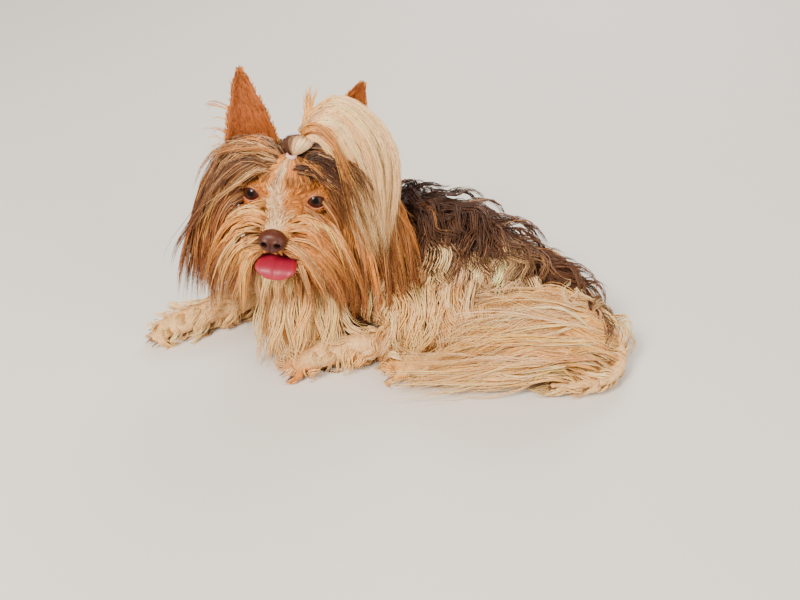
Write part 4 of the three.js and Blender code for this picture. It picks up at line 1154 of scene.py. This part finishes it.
for s, name in ((1, "coat_curtain_left"), (-1, "coat_curtain_right")):
    look = curtainLook if s < 0 else {**curtainLook, "under": ("cocoa", 0.5), "streaks": sunlit}
    coatPiece(name, [draped(strandsAt(curtainGuides[s]), look, 76, 700 + s)], "coat_gold")

# Crown: parted at the bands and drawn down over the brow, before and behind the ear
crownGuides = [
    [(5, 23, 20), (15, 23, 22), (28, 15, 24), (41, -2, 28), (48, -24, 32)],
    [(5, 26, 16), (17, 30, 19), (34, 26, 20), (48, 8, 22), (54, -18, 26)],
    [(6, 28, 9), (19, 36, 12), (39, 34, 10), (54, 14, 9), (60, -14, 14)],
    [(5, 27, -2), (19, 30, -14), (42, 22, -20), (56, -4, -18), (61, -30, -12)],
    [(3, 24, -14), (12, 22, -30), (24, 6, -38), (34, -18, -38), (40, -42, -34)],
]
crownLook = {**curtainLook, "lift": 2.5, "thick": 6, "room": 3, "hairs": 16, "rows": 7, "halfWidth": 3.4,
             "hair": 0.3, "paint": "ash", "under": ("chocolate", 0.7), "tips": ("amber", 0.5, 0.6),
             "rootSpread": (3, 3, 3), "across": (0, 0.96), "strays": 0.22, "strayReach": 10, "wave": 3,
             "waves": 0.8,
             "streaks": [("cream", 0.12, 0.12, 0.6), ("chocolate", 0.25, 0.15, 0.6),
                         ("gold", 0.15, 0.1, 0.5)]}
batches = []
for s in (1, -1):
    look = crownLook if s < 0 else {**crownLook, "paint": "cocoa"}
    batches.append(draped(strandsAt(crownGuides, s, 1), look, 60, 800 + s))
# Back of the head, combed down over the nape
napeLook = {**crownLook, "length": 50, "fall": 0.8, "cling": 0.6, "tousle": 0.12, "hairs": 15, "rows": 8,
            "lift": 6, "base": 1.5, "paint": "cocoa", "field": headEggs, "halfWidth": 4,
            "drift": (0.02, 0.02, 0.02)}
weight = partWeight("head") * (faceForward < 2) * (faceUp > -12) * (1 - ease(faceForward, -8, 2))
roots = spreadRoots(84, weight, 820)
batches.append(combed(roots, headWay(toHead(roots)[0] * 0.02, -0.5, -0.8), napeLook, 821))
coatPiece("coat_crown", batches, "coat_gold")

# Ponytail: over its peak and down before the left ear, a fan that draws in again at its end
ponytailGuides = [
    [(-84, -31, 161), (-68, -38, 158), (-59, -47, 133), (-50, -55, 108), (-35, -60, 86)],
    [(-84, -31, 162), (-64, -33, 172), (-49, -42, 145), (-42, -51, 116), (-33, -59, 84)],
    [(-83, -31, 163), (-61, -28, 182), (-37, -37, 158), (-31, -47, 124), (-31, -57, 85)],
    [(-83, -31, 164), (-62, -26, 187), (-28, -32, 164), (-19, -42, 132), (-28, -55, 88)],
]
ponytailLook = {"free": True, "rooted": False, "room": 2, "thick": 7, "wave": 1.6, "waves": 0.6, "hairs": 36,
                "rows": 10, "halfWidth": 2.8, "halfThick": 1.2, "hair": 0.29, "close": 0.6, "frizz": 0.5,
                "strays": 0.06, "strayReach": 6, "rootShade": 0.95, "shortest": 0.6,
                "rootSpread": (0.8, 0.8, 0.8), "tipSpread": (2.5, 2, 8), "paint": "white", "lockShade": 0.05,
                "hairShade": 0.09,
                "streaks": [("cream", 0.3, 0.25, 0.6), ("gold", 0.02, 0.03, 0.4), ("straw", 0.1, 0.08, 0.4)],
                "under": ("straw", 0.5), "middle": spot(-60, -10, 110)}
# The innermost strands are brown, and their arch shows under the white
innerLook = {**ponytailLook, "paint": "amber", "hairs": 24, "across": (0.0, 0.15), "thick": 1,
             "streaks": [("gold", 0.3, 0.3, 0.6), ("straw", 0.2, 0.2, 0.6)]}
archGuides = [
    [(-84, -32, 163), (-74, -35, 168), (-62, -42, 158), (-53, -50, 132), (-46, -56, 108)],
    [(-84, -31, 165), (-72, -33, 172), (-57, -41, 160), (-49, -49, 134), (-42, -56, 108)],
]
batches = [draped(ponytailGuides, ponytailLook, 44, 900), draped(archGuides, innerLook, 4, 905)]
# Shorter hair that stands up behind the back band
wispGuides = [[(-84, -31, 162), (-79 + 2 * k, -29, 176), (-73 + 5 * k, -27, 191)] for k in (-1, 0, 1)]
wispLook = {**ponytailLook, "hairs": 16, "rows": 6, "halfWidth": 1.6, "thick": 1, "tipSpread": (3, 2, 4),
            "paint": "straw"}
batches.append(draped(wispGuides, wispLook, 9, 910))
# Between the bands the hair swells: brown above and white at its side
bubbleLook = {"hairs": 22, "rows": 7, "halfWidth": 1.4, "halfThick": 1.0, "hair": 0.26, "close": 0.9,
              "frizz": 0.4, "strays": 0.04, "strayReach": 2, "rooted": False, "shortest": 0.98,
              "rootShade": 1.0, "lockShade": 0.1}
bubbleSize = {"strands": 26, "stops": 11, "end": 0.9, "wide": 6.6, "tall": 5.0}
rows = np.linspace(0, 1, bubbleSize["stops"])
turns = np.linspace(0, 2 * math.pi, bubbleSize["strands"], endpoint=False)
swell = np.sin(math.pi * rows) ** 0.8
middle = curve([bandFront, inHead(5.6, 38, 14.5), bandBack], rows)
size = 1 + 0.25 * np.sin(3 * turns + 1)
across = (np.cos(turns) * size)[:, None] * (bubbleSize["end"] + bubbleSize["wide"] * swell)[None]
lifted = (np.sin(turns) * size)[:, None] * (bubbleSize["end"] + bubbleSize["tall"] * swell)[None]
paths = middle[None] + headWay(1, 0, 0) * across[..., None] + headWay(0, 0.6, 0.8) * lifted[..., None]
faces = unit(paths - middle[None] + 1e-3)


def bubblePaint(hairs):
    turn = turns[hairs["lockOf"]]
    pale = ease(np.cos(turn - 0.2 * math.pi), 0.1, 0.75)
    return mix(tones["cocoa"], tones["white"], pale[:, None])


bubbleLook["paint"] = bubblePaint
batches.append(batch(paths, faces, bubbleLook, 903))
coatPiece("coat_ponytail", batches, "coat_cream", "ponytail", "topknot")

# Ears: a cupped leaf with a wall, short velvet on both faces, a fine fringe and a few long hairs
earSize = {"wall": 1.2, "cup": 7.0, "raised": 3, "across": 24, "along": 36}
earHair = {"front": 330, "back": 150, "fringe": 95, "long": 9, "off": 0.75, "rise": 0.45, "lean": 0.11}


def earPlaces(s, u, v):
    # u runs from edge to edge and v from the base to the tip
    f = limbFrame(earLimb(s), v, earFacing(s)[0])
    cup = earSize["cup"] * (1 - u**2) * (1 - 0.75 * v) - earSize["raised"]
    return f["at"] + f["side"] * (u * f["wide"])[..., None] - f["up"] * cup[..., None]


def earTone(points, s):
    # Darker towards the base
    base, tip = earEnds(s)
    share = (points - base) @ (tip - base) / np.sum((tip - base) ** 2)
    return mix(mix(tones["russet"], tones["ear"], 0.55), tones["ear"], ease(share, 0.0, 0.45)[..., None])


def earPaint(s):
    def paint(hairs):
        return earTone(hairs["paths"][:, 0], s)

    return paint


def makeEar(s, name):
    shape = bmesh.new()
    bmesh.ops.create_grid(shape, x_segments=earSize["across"], y_segments=earSize["along"], size=1)
    flat = vertsOf(shape)
    moveTo(shape, earPlaces(s, flat[:, 0], (flat[:, 1] + 1) / 2) * milli)
    bmesh.ops.recalc_face_normals(shape, faces=shape.faces)
    bmesh.ops.solidify(shape, geom=shape.faces[:], thickness=earSize["wall"] * milli)
    bmesh.ops.recalc_face_normals(shape, faces=shape.faces)
    places = vertsOf(shape) / milli
    mesh = meshOf(shape, name)
    paintPoints(mesh, earTone(places, s))
    return pieceFrom(name, mesh, velvet)


velvetLook = {"hairs": 6, "rows": 4, "halfWidth": 1.5, "halfThick": 0.15, "hair": 0.15, "close": 1.0,
              "frizz": 0.1, "rooted": False, "rootShade": 1.05, "strays": 0.0, "lockShade": 0.03,
              "hairShade": 0.05, "streaks": [("gold", 0.1, 0.15, 0.3)]}
fringeLook = {**velvetLook, "hairs": 6, "rows": 5, "halfWidth": 1.0, "hair": 0.15, "paint": "straw",
              "strays": 0.1, "strayReach": 3, "streaks": [("ear", 0.4, 0.3, 0.8)]}
wispyLook = {**fringeLook, "hairs": 3, "rows": 10, "halfWidth": 0.9, "hair": 0.17, "close": 0.6, "frizz": 0.8}
batches = []
steps = np.linspace(0, 1, 6)
bend = np.linspace(0, 1, 11)
for s, name, cadNode in ((1, "ear_leaf_left", "ear_left"), (-1, "ear_leaf_right", "ear_right")):
    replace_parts(makeEar(s, name), cadNode)
    chance = np.random.default_rng(1000 + s)
    facing, along = earFacing(s)
    look = {**velvetLook, "paint": earPaint(s)}
    off = earSize["wall"] * earHair["off"]
    for side, count in ((1, earHair["front"]), (-1, earHair["back"])):
        u, v = chance.uniform(-0.97, 0.97, count), chance.random(count)
        start = earPlaces(s, u, v) + facing * (side * off)
        end = earPlaces(s, u * 0.96, np.minimum(v + earHair["lean"], 1.02))
        end = end + facing * side * (off + earHair["rise"])
        end = end + unit(chance.normal(0, 1, (count, 3))) * 0.35
        paths = mix(start[:, None], end[:, None], steps[None, :, None])
        batches.append(facingBatch(paths, facing * side, look, 1010 + s + 3 * side))
    # A fine pale fringe along both edges
    count = earHair["fringe"]
    edge, v = chance.choice([-1, 1], count), chance.random(count) ** 1.2
    start = earPlaces(s, edge * 0.98, v)
    sideWay = limbFrame(earLimb(s), v, facing)["side"] * edge[:, None]
    lean = unit(along + sideWay * 0.35 + facing * 0.15 + chance.normal(0, 0.1, (count, 3)))
    lengths = chance.uniform(3, 6.5, count) * (1 - 0.5 * v)
    paths = start[:, None] + lean[:, None] * (lengths[:, None] * steps[None])[..., None]
    batches.append(facingBatch(paths, facing, fringeLook, 1030 + s))
    # Long hairs that leave the outer edge, rise a little and bend down
    count = earHair["long"]
    v = chance.uniform(0.1, 0.7, count)
    outer = np.sign(limbFrame(earLimb(s), v, facing)["side"] @ headWay(s, 0, 0))
    start = earPlaces(s, 0.95 * outer, v)
    reach = chance.uniform(10, 24, count)[:, None, None]
    sweep = (np.sin(bend * 1.7) * 0.8)[None, :, None] * headWay(s, 0, 0)
    drop = (0.7 * bend - chance.uniform(0.6, 1.6, count)[:, None] * bend**2)[..., None] * headWay(0, 1, 0)
    paths = start[:, None] + reach * (sweep + drop)
    batches.append(facingBatch(paths, facing, wispyLook, 1040 + s))
coatPiece("coat_ears", batches, "coat_gold")
print("coat", sum(coatCount.values()), "faces")

# Eyes: a dark brown iris under a glossy surface, gaze along the head's forward way turned outwards
eyeLook = {"gaze": (0.14, 0.26, 0.95), "bulge": 0.5, "bulgeFrom": 0.72, "reach": 0.009}
# Colours of the eye by their share of the reach, which is in metres: pupil, iris, its dark edge, white
irisStops = [
    (0.0, (0.002, 0.001, 0.001)), (0.2, (0.003, 0.001, 0.001)), (0.27, (0.025, 0.008, 0.004)),
    (0.52, (0.075, 0.02, 0.009)), (0.7, (0.02, 0.006, 0.003)), (0.78, (0.25, 0.12, 0.09)),
    (1.0, (0.4, 0.22, 0.18)),
]


def gazeOf(s):
    left, up, forward = eyeLook["gaze"]
    return unit(headWay(s * left, up, forward))


def eyeMaterial(s, name):
    material, tree, shader = finish(name, {"Roughness": 0.4, "Specular IOR Level": 0.04, "Coat Weight": 0.3,
                                           "Coat Roughness": 0.04})
    place = node(tree, "TexCoord").outputs["Object"]
    pupil = Vector((eyeCentre(s) + gazeOf(s) * eyeSize["radius"]) * milli)
    away = node(tree, "VectorMath", {"operation": "DISTANCE", 1: pupil}, {0: place}).outputs["Value"]
    reach = node(tree, "MapRange", {"From Min": 0.0, "From Max": eyeLook["reach"]}, {"Value": away})
    threads = node(tree, "TexNoise", {"Scale": 900.0, "Detail": 4.0}, {"Vector": place})
    rough = node(tree, "Math", {"operation": "MULTIPLY_ADD", 1: 0.06, 2: -0.03}, {0: threads.outputs["Fac"]})
    total = node(tree, "Math", {"operation": "ADD"}, {0: reach.outputs["Result"], 1: rough.outputs["Value"]})
    ramp = node(tree, "ValToRGB", None, {"Fac": total.outputs["Value"]})
    while len(ramp.color_ramp.elements) < len(irisStops):
        ramp.color_ramp.elements.new(0.5)
    for element, (where, colour) in zip(ramp.color_ramp.elements, irisStops):
        element.position = where
        element.color = (*colour, 1)
    tree.links.new(ramp.outputs["Color"], shader.inputs["Base Color"])
    return material


def makeEye(s, name, cadNode):
    shape = bmesh.new()
    bmesh.ops.create_icosphere(shape, subdivisions=5, radius=1)
    ways = vertsOf(shape)
    bulge = ease(ways @ gazeOf(s), eyeLook["bulgeFrom"], 1.0) * eyeLook["bulge"]
    moveTo(shape, (eyeCentre(s) + ways * (eyeSize["radius"] + bulge)[:, None]) * milli)
    made = pieceFrom(name, meshOf(shape, name), eyeMaterial(s, name))
    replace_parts(made, cadNode)


makeEye(1, "eyeball_left", "eye_left")
makeEye(-1, "eyeball_right", "eye_right")

# Lids: an almond opening whose rim lies on the eyeball, and a collar that runs out to the skin
lidSize = {"halfLong": 6.0, "halfHigh": 3.9, "reach": 11.5, "slant": 6, "turn": (0.26, 0.16, 0.95),
           "points": 48, "clear": 0.35, "round": 0.92, "slope": 0.55, "thick": 0.3}
# Each ring's share of the way from the opening to the collar's edge, and its height over the eyeball
lidRings = [(0, -0.5), (0.0, 0.05), (0.03, 0.3), (0.09, 0.5), (0.2, 0.45), (0.42, 0.0), (0.72, -1.2), (1, -3)]
lidFinish = surface("lids", {"Roughness": 0.42, "Specular IOR Level": 0.5}, "Noise",
                    {"Scale": 1500.0, "Detail": 4.0}, relief=(0.35, 0.0004))


def lidPlaces(s, angles):
    gaze = unit(headWay(s * lidSize["turn"][0], *lidSize["turn"][1:]))
    above = unit(headWay(0, 1, 0) - gaze * float(headWay(0, 1, 0) @ gaze))
    aside = np.cross(above, gaze)
    slant = math.radians(lidSize["slant"]) * s
    x0 = np.cos(angles) * lidSize["halfLong"]
    y0 = np.sign(np.sin(angles)) * np.abs(np.sin(angles)) ** 1.25 * lidSize["halfHigh"]
    x1, y1 = np.cos(angles) * lidSize["reach"], np.sin(angles) * lidSize["reach"]
    r = eyeSize["radius"] + lidSize["clear"]
    edge = r * lidSize["round"]
    rings = []
    for share, lift in lidRings:
        x, y = mix(x0, x1, share), mix(y0, y1, share)
        x, y = x * math.cos(slant) - y * math.sin(slant), x * math.sin(slant) + y * math.cos(slant)
        out = np.hypot(x, y)
        beyond = math.sqrt(r**2 - edge**2) - (out - edge) * lidSize["slope"]
        depth = np.where(out < edge, np.sqrt(np.maximum(r**2 - out**2, 0)), beyond) + lift
        rings.append(eyeCentre(s) + aside * x[:, None] + above * y[:, None] + gaze * depth[:, None])
    return np.stack(rings)


def makeLids(s, name):
    angles = np.linspace(0, 2 * math.pi, lidSize["points"], endpoint=False)
    rings = lidPlaces(s, angles)
    shape = bmesh.new()
    bmesh.ops.create_circle(shape, segments=lidSize["points"], radius=1)
    moveTo(shape, rings[0] * milli)
    edges = shape.edges[:]
    for ring in rings[1:]:
        grown = bmesh.ops.extrude_edge_only(shape, edges=edges)
        verts = [g for g in grown["geom"] if isinstance(g, bmesh.types.BMVert)]
        edges = [g for g in grown["geom"] if isinstance(g, bmesh.types.BMEdge)]
        for vert, place in zip(verts, ring):
            vert.co = Vector(place * milli)
    bmesh.ops.recalc_face_normals(shape, faces=shape.faces)
    mesh = meshOf(shape, name)
    rim = mix(tone(84, 32, 26), tone(196, 108, 88), ease(-np.sin(angles), -0.2, 0.6)[:, None])
    collar = mix(tones["tan"], tones["cocoa"], 0.5)
    colours = np.concatenate([mix(rim, collar, ease(np.array(k), 1.5, 3.5)) for k in range(len(rings))])
    paintPoints(mesh, colours)
    made = pieceFrom(name, mesh, lidFinish)
    wall = made.modifiers.new("wall", "SOLIDIFY")
    wall.thickness = lidSize["thick"] * milli
    wall.offset = -1
    return rings


# Short hair that grows outwards from the lids
lidHair = {"hairs": 7, "rows": 5, "halfWidth": 1.1, "halfThick": 0.3, "hair": 0.19, "close": 0.7,
           "frizz": 0.2, "rooted": False, "rootShade": 0.9, "strays": 0.05, "strayReach": 1.5,
           "paint": "tan", "lockShade": 0.06, "hairShade": 0.12,
           "streaks": [("gold", 0.2, 0.2, 0.6), ("russet", 0.1, 0.1, 0.5)]}
lidHairs = 120
batches = []
for s, name in ((1, "lids_left"), (-1, "lids_right")):
    rings = makeLids(s, name)
    chance = np.random.default_rng(1100 + s)
    angle, level = chance.random(lidHairs), chance.random(lidHairs)
    pick = (angle * rings.shape[1]).astype(int)
    start = mix(rings[2][pick], rings[6][pick], level[:, None] ** 1.5)
    outward = unit(start - eyeCentre(s))
    radial = unit(rings[6][pick] - rings[3][pick])
    way = unit(radial + headWay(s * 0.4, 0, -0.1) + outward * 0.12)
    reach = mix(4.0, 7.5, level)[:, None, None]
    paths = start[:, None] + way[:, None] * reach * bend[None, :, None]
    paths = paths + outward[:, None] * (0.2 + 0.8 * np.sin(bend * 2.4))[None, :, None]
    batches.append(facingBatch(paths, outward[:, None], lidHair, 1110 + s))
coatPiece("coat_lids", batches, "coat_gold")
print("eyes")

# Nose leather: broad above, flat in front, with nostrils that open to the sides and a groove between.
# Each mark's place is aside and up, then its half sizes the same way.
noseMarks = {"hole": (4.1, -0.9, 1.9, 1.5), "slit": (6.9, -2.0, 2.0, 0.8), "rim": (4.1, -0.4, 3.3, 2.7)}
noseDepth = {"hole": 4.2, "slit": 1.6, "groove": 0.9, "rim": 0.7, "grooveWide": 0.7, "flat": 1.35}
# Leather tones: a little lighter towards the top, painted light from above, and darkest in the nostrils and
# slits, painted shade in them
noseTones = {"low": tone(68, 25, 11), "high": tone(82, 33, 15), "deep": tone(34, 18, 16)}
noseFinish = {"Roughness": 0.45, "Specular IOR Level": 0.35, "Coat Weight": 0.08, "Coat Roughness": 0.35}
# The cells are painted lighter in their middles and darker at their edges, which the relief sinks: painted
# shade in the creases between them
noseCreaseShade = {"From Max": 0.7, "To Min": 1.12, "To Max": 0.8}


def noseMark(x, y, mark, power=1):
    aside, up, wide, tall = noseMarks[mark]
    return np.exp(-(((x - aside) / wide) ** 2 + ((y - up) / tall) ** 2) ** power)


def makeNose():
    shape = bmesh.new()
    bmesh.ops.create_icosphere(shape, subdivisions=6, radius=1)
    left, forward, up = vertsOf(shape).T
    half, flat = noseSize["half"], noseDepth["flat"]
    x = left * half[0] * (1 + 0.1 * up)
    y = up * half[1] * (1 - 0.06 * np.abs(left))
    z = np.where(forward > 0, np.tanh(forward * flat) / math.tanh(flat), forward) * half[2]
    front = ease(forward, 0.2, 0.6)
    aside = np.abs(x)
    hole = noseMark(aside, y, "hole", 1.6)
    slit = noseMark(aside, y + 0.25 * (aside - noseMarks["slit"][0]), "slit")
    groove = np.exp(-((x / noseDepth["grooveWide"]) ** 2)) * (1 - ease(y, -0.5, 2.5))
    pressed = noseDepth["hole"] * hole + noseDepth["slit"] * slit + noseDepth["groove"] * groove
    z = z + front * (noseDepth["rim"] * noseMark(aside, y, "rim", 2) - pressed)
    moveTo(shape, inHead(x, y + noseSize["up"], z + noseSize["forward"]) * milli)
    mesh = meshOf(shape, "nose_leather")
    # Painted shade in the nostrils and slits, and painted light towards the top of the leather
    dark = np.clip(hole * 1.3 + 0.6 * slit, 0, 1) * front
    leather = mix(noseTones["low"], noseTones["high"], ease(y, -3, 6)[:, None])
    paintPoints(mesh, mix(leather, noseTones["deep"], dark[:, None]))
    material = surface("noseLeather", noseFinish, "Voronoi", {"Scale": 1300.0}, noseCreaseShade, (0.6, 0.0003),
                       ofShade=True)
    made = pieceFrom("nose_tip", mesh, material)
    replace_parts(made, "nose")


makeNose()

# Tongue: broad and flat, with a groove and a raised rim, drooping over the lower lip
tongueSize = {"relief": 0.9, "groove": 0.1, "rimAt": 0.86, "rimWide": 0.12, "square": 0.45}
tongueTones = {"top": tone(148, 20, 50), "rim": tone(158, 11, 36), "back": tone(150, 46, 62)}


def makeTongue():
    shape = bmesh.new()
    bmesh.ops.create_uvsphere(shape, u_segments=64, v_segments=48, radius=1)
    x, top, along = vertsOf(shape).T
    ring = np.sqrt(np.maximum(1 - along**2, 0))
    f = limbFrame(tonguePlaces, (along + 1) / 2, headWay(0, 1, 0))
    scale = np.divide(ring ** tongueSize["square"], np.maximum(ring, 1e-4))
    x, top = x * scale, top * scale
    raised = np.exp(-(((np.abs(x) - tongueSize["rimAt"]) / tongueSize["rimWide"]) ** 2))
    relief = tongueSize["relief"] * (raised - np.exp(-((x / tongueSize["groove"]) ** 2)))
    lift = np.where(top > 0, relief, 0) * ring
    places = f["at"] + f["side"] * (x * f["wide"])[:, None] + f["up"] * (top * f["tall"] + lift)[:, None]
    moveTo(shape, places * milli)
    bmesh.ops.recalc_face_normals(shape, faces=shape.faces)
    mesh = meshOf(shape, "tongue_blade")
    rim = np.maximum(ease(np.abs(x), 0.7, 0.95), ease(along, 0.7, 0.95))[:, None]
    pink = mix(tongueTones["top"], tongueTones["rim"], rim)
    back = (1 - ease(along, -0.9, -0.1))[:, None]
    paintPoints(mesh, mix(pink, tongueTones["back"], back * 0.8))
    material = surface("tongue", {"Roughness": 0.5, "Coat Weight": 0.12, "Coat Roughness": 0.3}, "Voronoi",
                       {"Scale": 1500.0}, relief=(0.4, 0.0002))
    made = pieceFrom("tongue_blade", mesh, material)
    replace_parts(made, "tongue")


makeTongue()

# Hair bands: wound elastic rings
bandSize = {"radius": 2.5, "tube": 1.2, "turns": 26, "ridge": 0.1, "tall": 1.25}
bandFinish = {"Roughness": 0.55, "Sheen Weight": 0.4, "Sheen Roughness": 0.4}


def makeBand(name, cadNode, at, axis, colour):
    shape = bmesh.new()
    start = Matrix.Translation((bandSize["radius"], 0, 0)) @ Matrix.Rotation(math.pi / 2, 4, "X")
    bmesh.ops.create_circle(shape, segments=12, radius=bandSize["tube"], matrix=start)
    bmesh.ops.spin(shape, geom=shape.edges[:] + shape.verts[:], axis=(0, 0, 1), cent=(0, 0, 0),
                   angle=2 * math.pi, steps=72, use_merge=True)
    bmesh.ops.remove_doubles(shape, verts=shape.verts, dist=1e-4)
    bmesh.ops.recalc_face_normals(shape, faces=shape.faces)
    p = vertsOf(shape)
    turn = np.arctan2(p[:, 1], p[:, 0])
    out = np.hypot(p[:, 0], p[:, 1]) - bandSize["radius"]
    around = np.arctan2(p[:, 2], out)
    ridge = 1 + bandSize["ridge"] * np.sin(bandSize["turns"] * turn + 2 * around)
    ring = np.stack([np.cos(turn), np.sin(turn), 0 * turn], 1) * (bandSize["radius"] + out * ridge)[:, None]
    p = ring + spot(0, 0, 1) * (p[:, 2] * ridge * bandSize["tall"])[:, None]
    aim = np.array(Vector((0, 0, 1)).rotation_difference(Vector(unit(axis))).to_matrix())
    moveTo(shape, (p @ aim.T + at) * milli)
    material = surface(name, bandFinish, "Noise", {"Scale": 2500.0, "Detail": 3.0},
                       pair=(colour * 0.75, np.minimum(colour * 1.15, 1)))
    made = pieceFrom(name, meshOf(shape, name), material)
    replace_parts(made, cadNode)


bandPink, bandCream = tone(232, 186, 182), tone(238, 230, 206)
makeBand("band_front", "hair_band_front", bandFront, headWay(0.1, 1, 0.15), bandPink)
makeBand("band_back", "hair_band_back", bandBack, headWay(0.5, 0.6, -0.6), bandCream)

# Claws, curved down from the toes
clawSize = {"long": 6.5, "thick": 1.25, "tip": 0.25, "rooted": 1.5, "droop": 2.6, "bend": 1.8, "lowest": 0.3}
claws = bmesh.new()
for at, ahead in clawPlaces:
    single = bmesh.new()
    bmesh.ops.create_cone(single, segments=12, radius1=clawSize["thick"], radius2=clawSize["tip"],
                          depth=clawSize["long"], cap_ends=True)
    sides = [e for e in single.edges if abs(e.verts[0].co.z - e.verts[1].co.z) > 1]
    bmesh.ops.subdivide_edges(single, edges=sides, cuts=5)
    p = vertsOf(single)
    reach = p[:, 2] + clawSize["long"] / 2
    across = np.cross(ahead, spot(0, 0, 1))
    drop = clawSize["droop"] * (reach / clawSize["long"]) ** clawSize["bend"]
    places = at + ahead * (reach - clawSize["rooted"])[:, None] + across * p[:, :1]
    places[:, 2] = np.maximum(places[:, 2] + p[:, 1] - drop, clawSize["lowest"])
    moveTo(single, places * milli)
    temporary = meshOf(single, "claw")
    claws.from_mesh(temporary)
    bpy.data.meshes.remove(temporary)
bmesh.ops.recalc_face_normals(claws, faces=claws.faces)
material = surface("claw", {"Roughness": 0.35, "Specular IOR Level": 0.5}, "Noise",
                   {"Scale": 700.0, "Detail": 3.0}, pair=(tone(70, 44, 34), tone(140, 104, 84)))
pieceFrom("claws", meshOf(claws, "claws"), material)
print("nose, tongue, bands, claws")

# Floor and soft light
stageSize = {"floor": 6.0, "paper": tone(226, 222, 216), "aim": Vector((-0.03, -0.03, 0.08))}
lights = {
    "key": {"at": (-0.6, -0.9, 1.2), "size": 0.5, "power": 38, "colour": (1.0, 0.9, 0.78)},
    "fill": {"at": (1.1, -0.8, 0.7), "size": 1.2, "power": 13, "colour": (1.0, 0.94, 0.86)},
    "rim": {"at": (0.3, 1.0, 0.9), "size": 0.8, "power": 13, "colour": (1.0, 0.96, 0.9)},
}
roomLight = {"Color": (1.0, 0.97, 0.92, 1), "Strength": 0.58}


def makeFloor():
    shape = bmesh.new()
    bmesh.ops.create_grid(shape, x_segments=1, y_segments=1, size=stageSize["floor"] / 2)
    mesh = meshOf(shape, "floor")
    floor = bpy.data.objects.new("floor", mesh)
    bpy.context.scene.collection.objects.link(floor)
    paper = {"Roughness": 0.8, "Base Color": (*stageSize["paper"], 1)}
    mesh.materials.append(finish("paper", paper)[0])


def makeLight(name, look):
    data = bpy.data.lights.new(name, "AREA")
    data.shape = "DISK"
    data.size = look["size"]
    data.energy = look["power"]
    data.color = look["colour"]
    light = bpy.data.objects.new(name, data)
    light.location = look["at"]
    light.rotation_euler = (stageSize["aim"] - Vector(look["at"])).to_track_quat("-Z", "Y").to_euler()
    bpy.context.scene.collection.objects.link(light)


makeFloor()
for name, look in lights.items():
    makeLight(name, look)
world = bpy.data.worlds.new("studio")
bpy.context.scene.world = world
world.use_nodes = True
for socket, value in roomLight.items():
    world.node_tree.nodes["Background"].inputs[socket].default_value = value
print("stage")
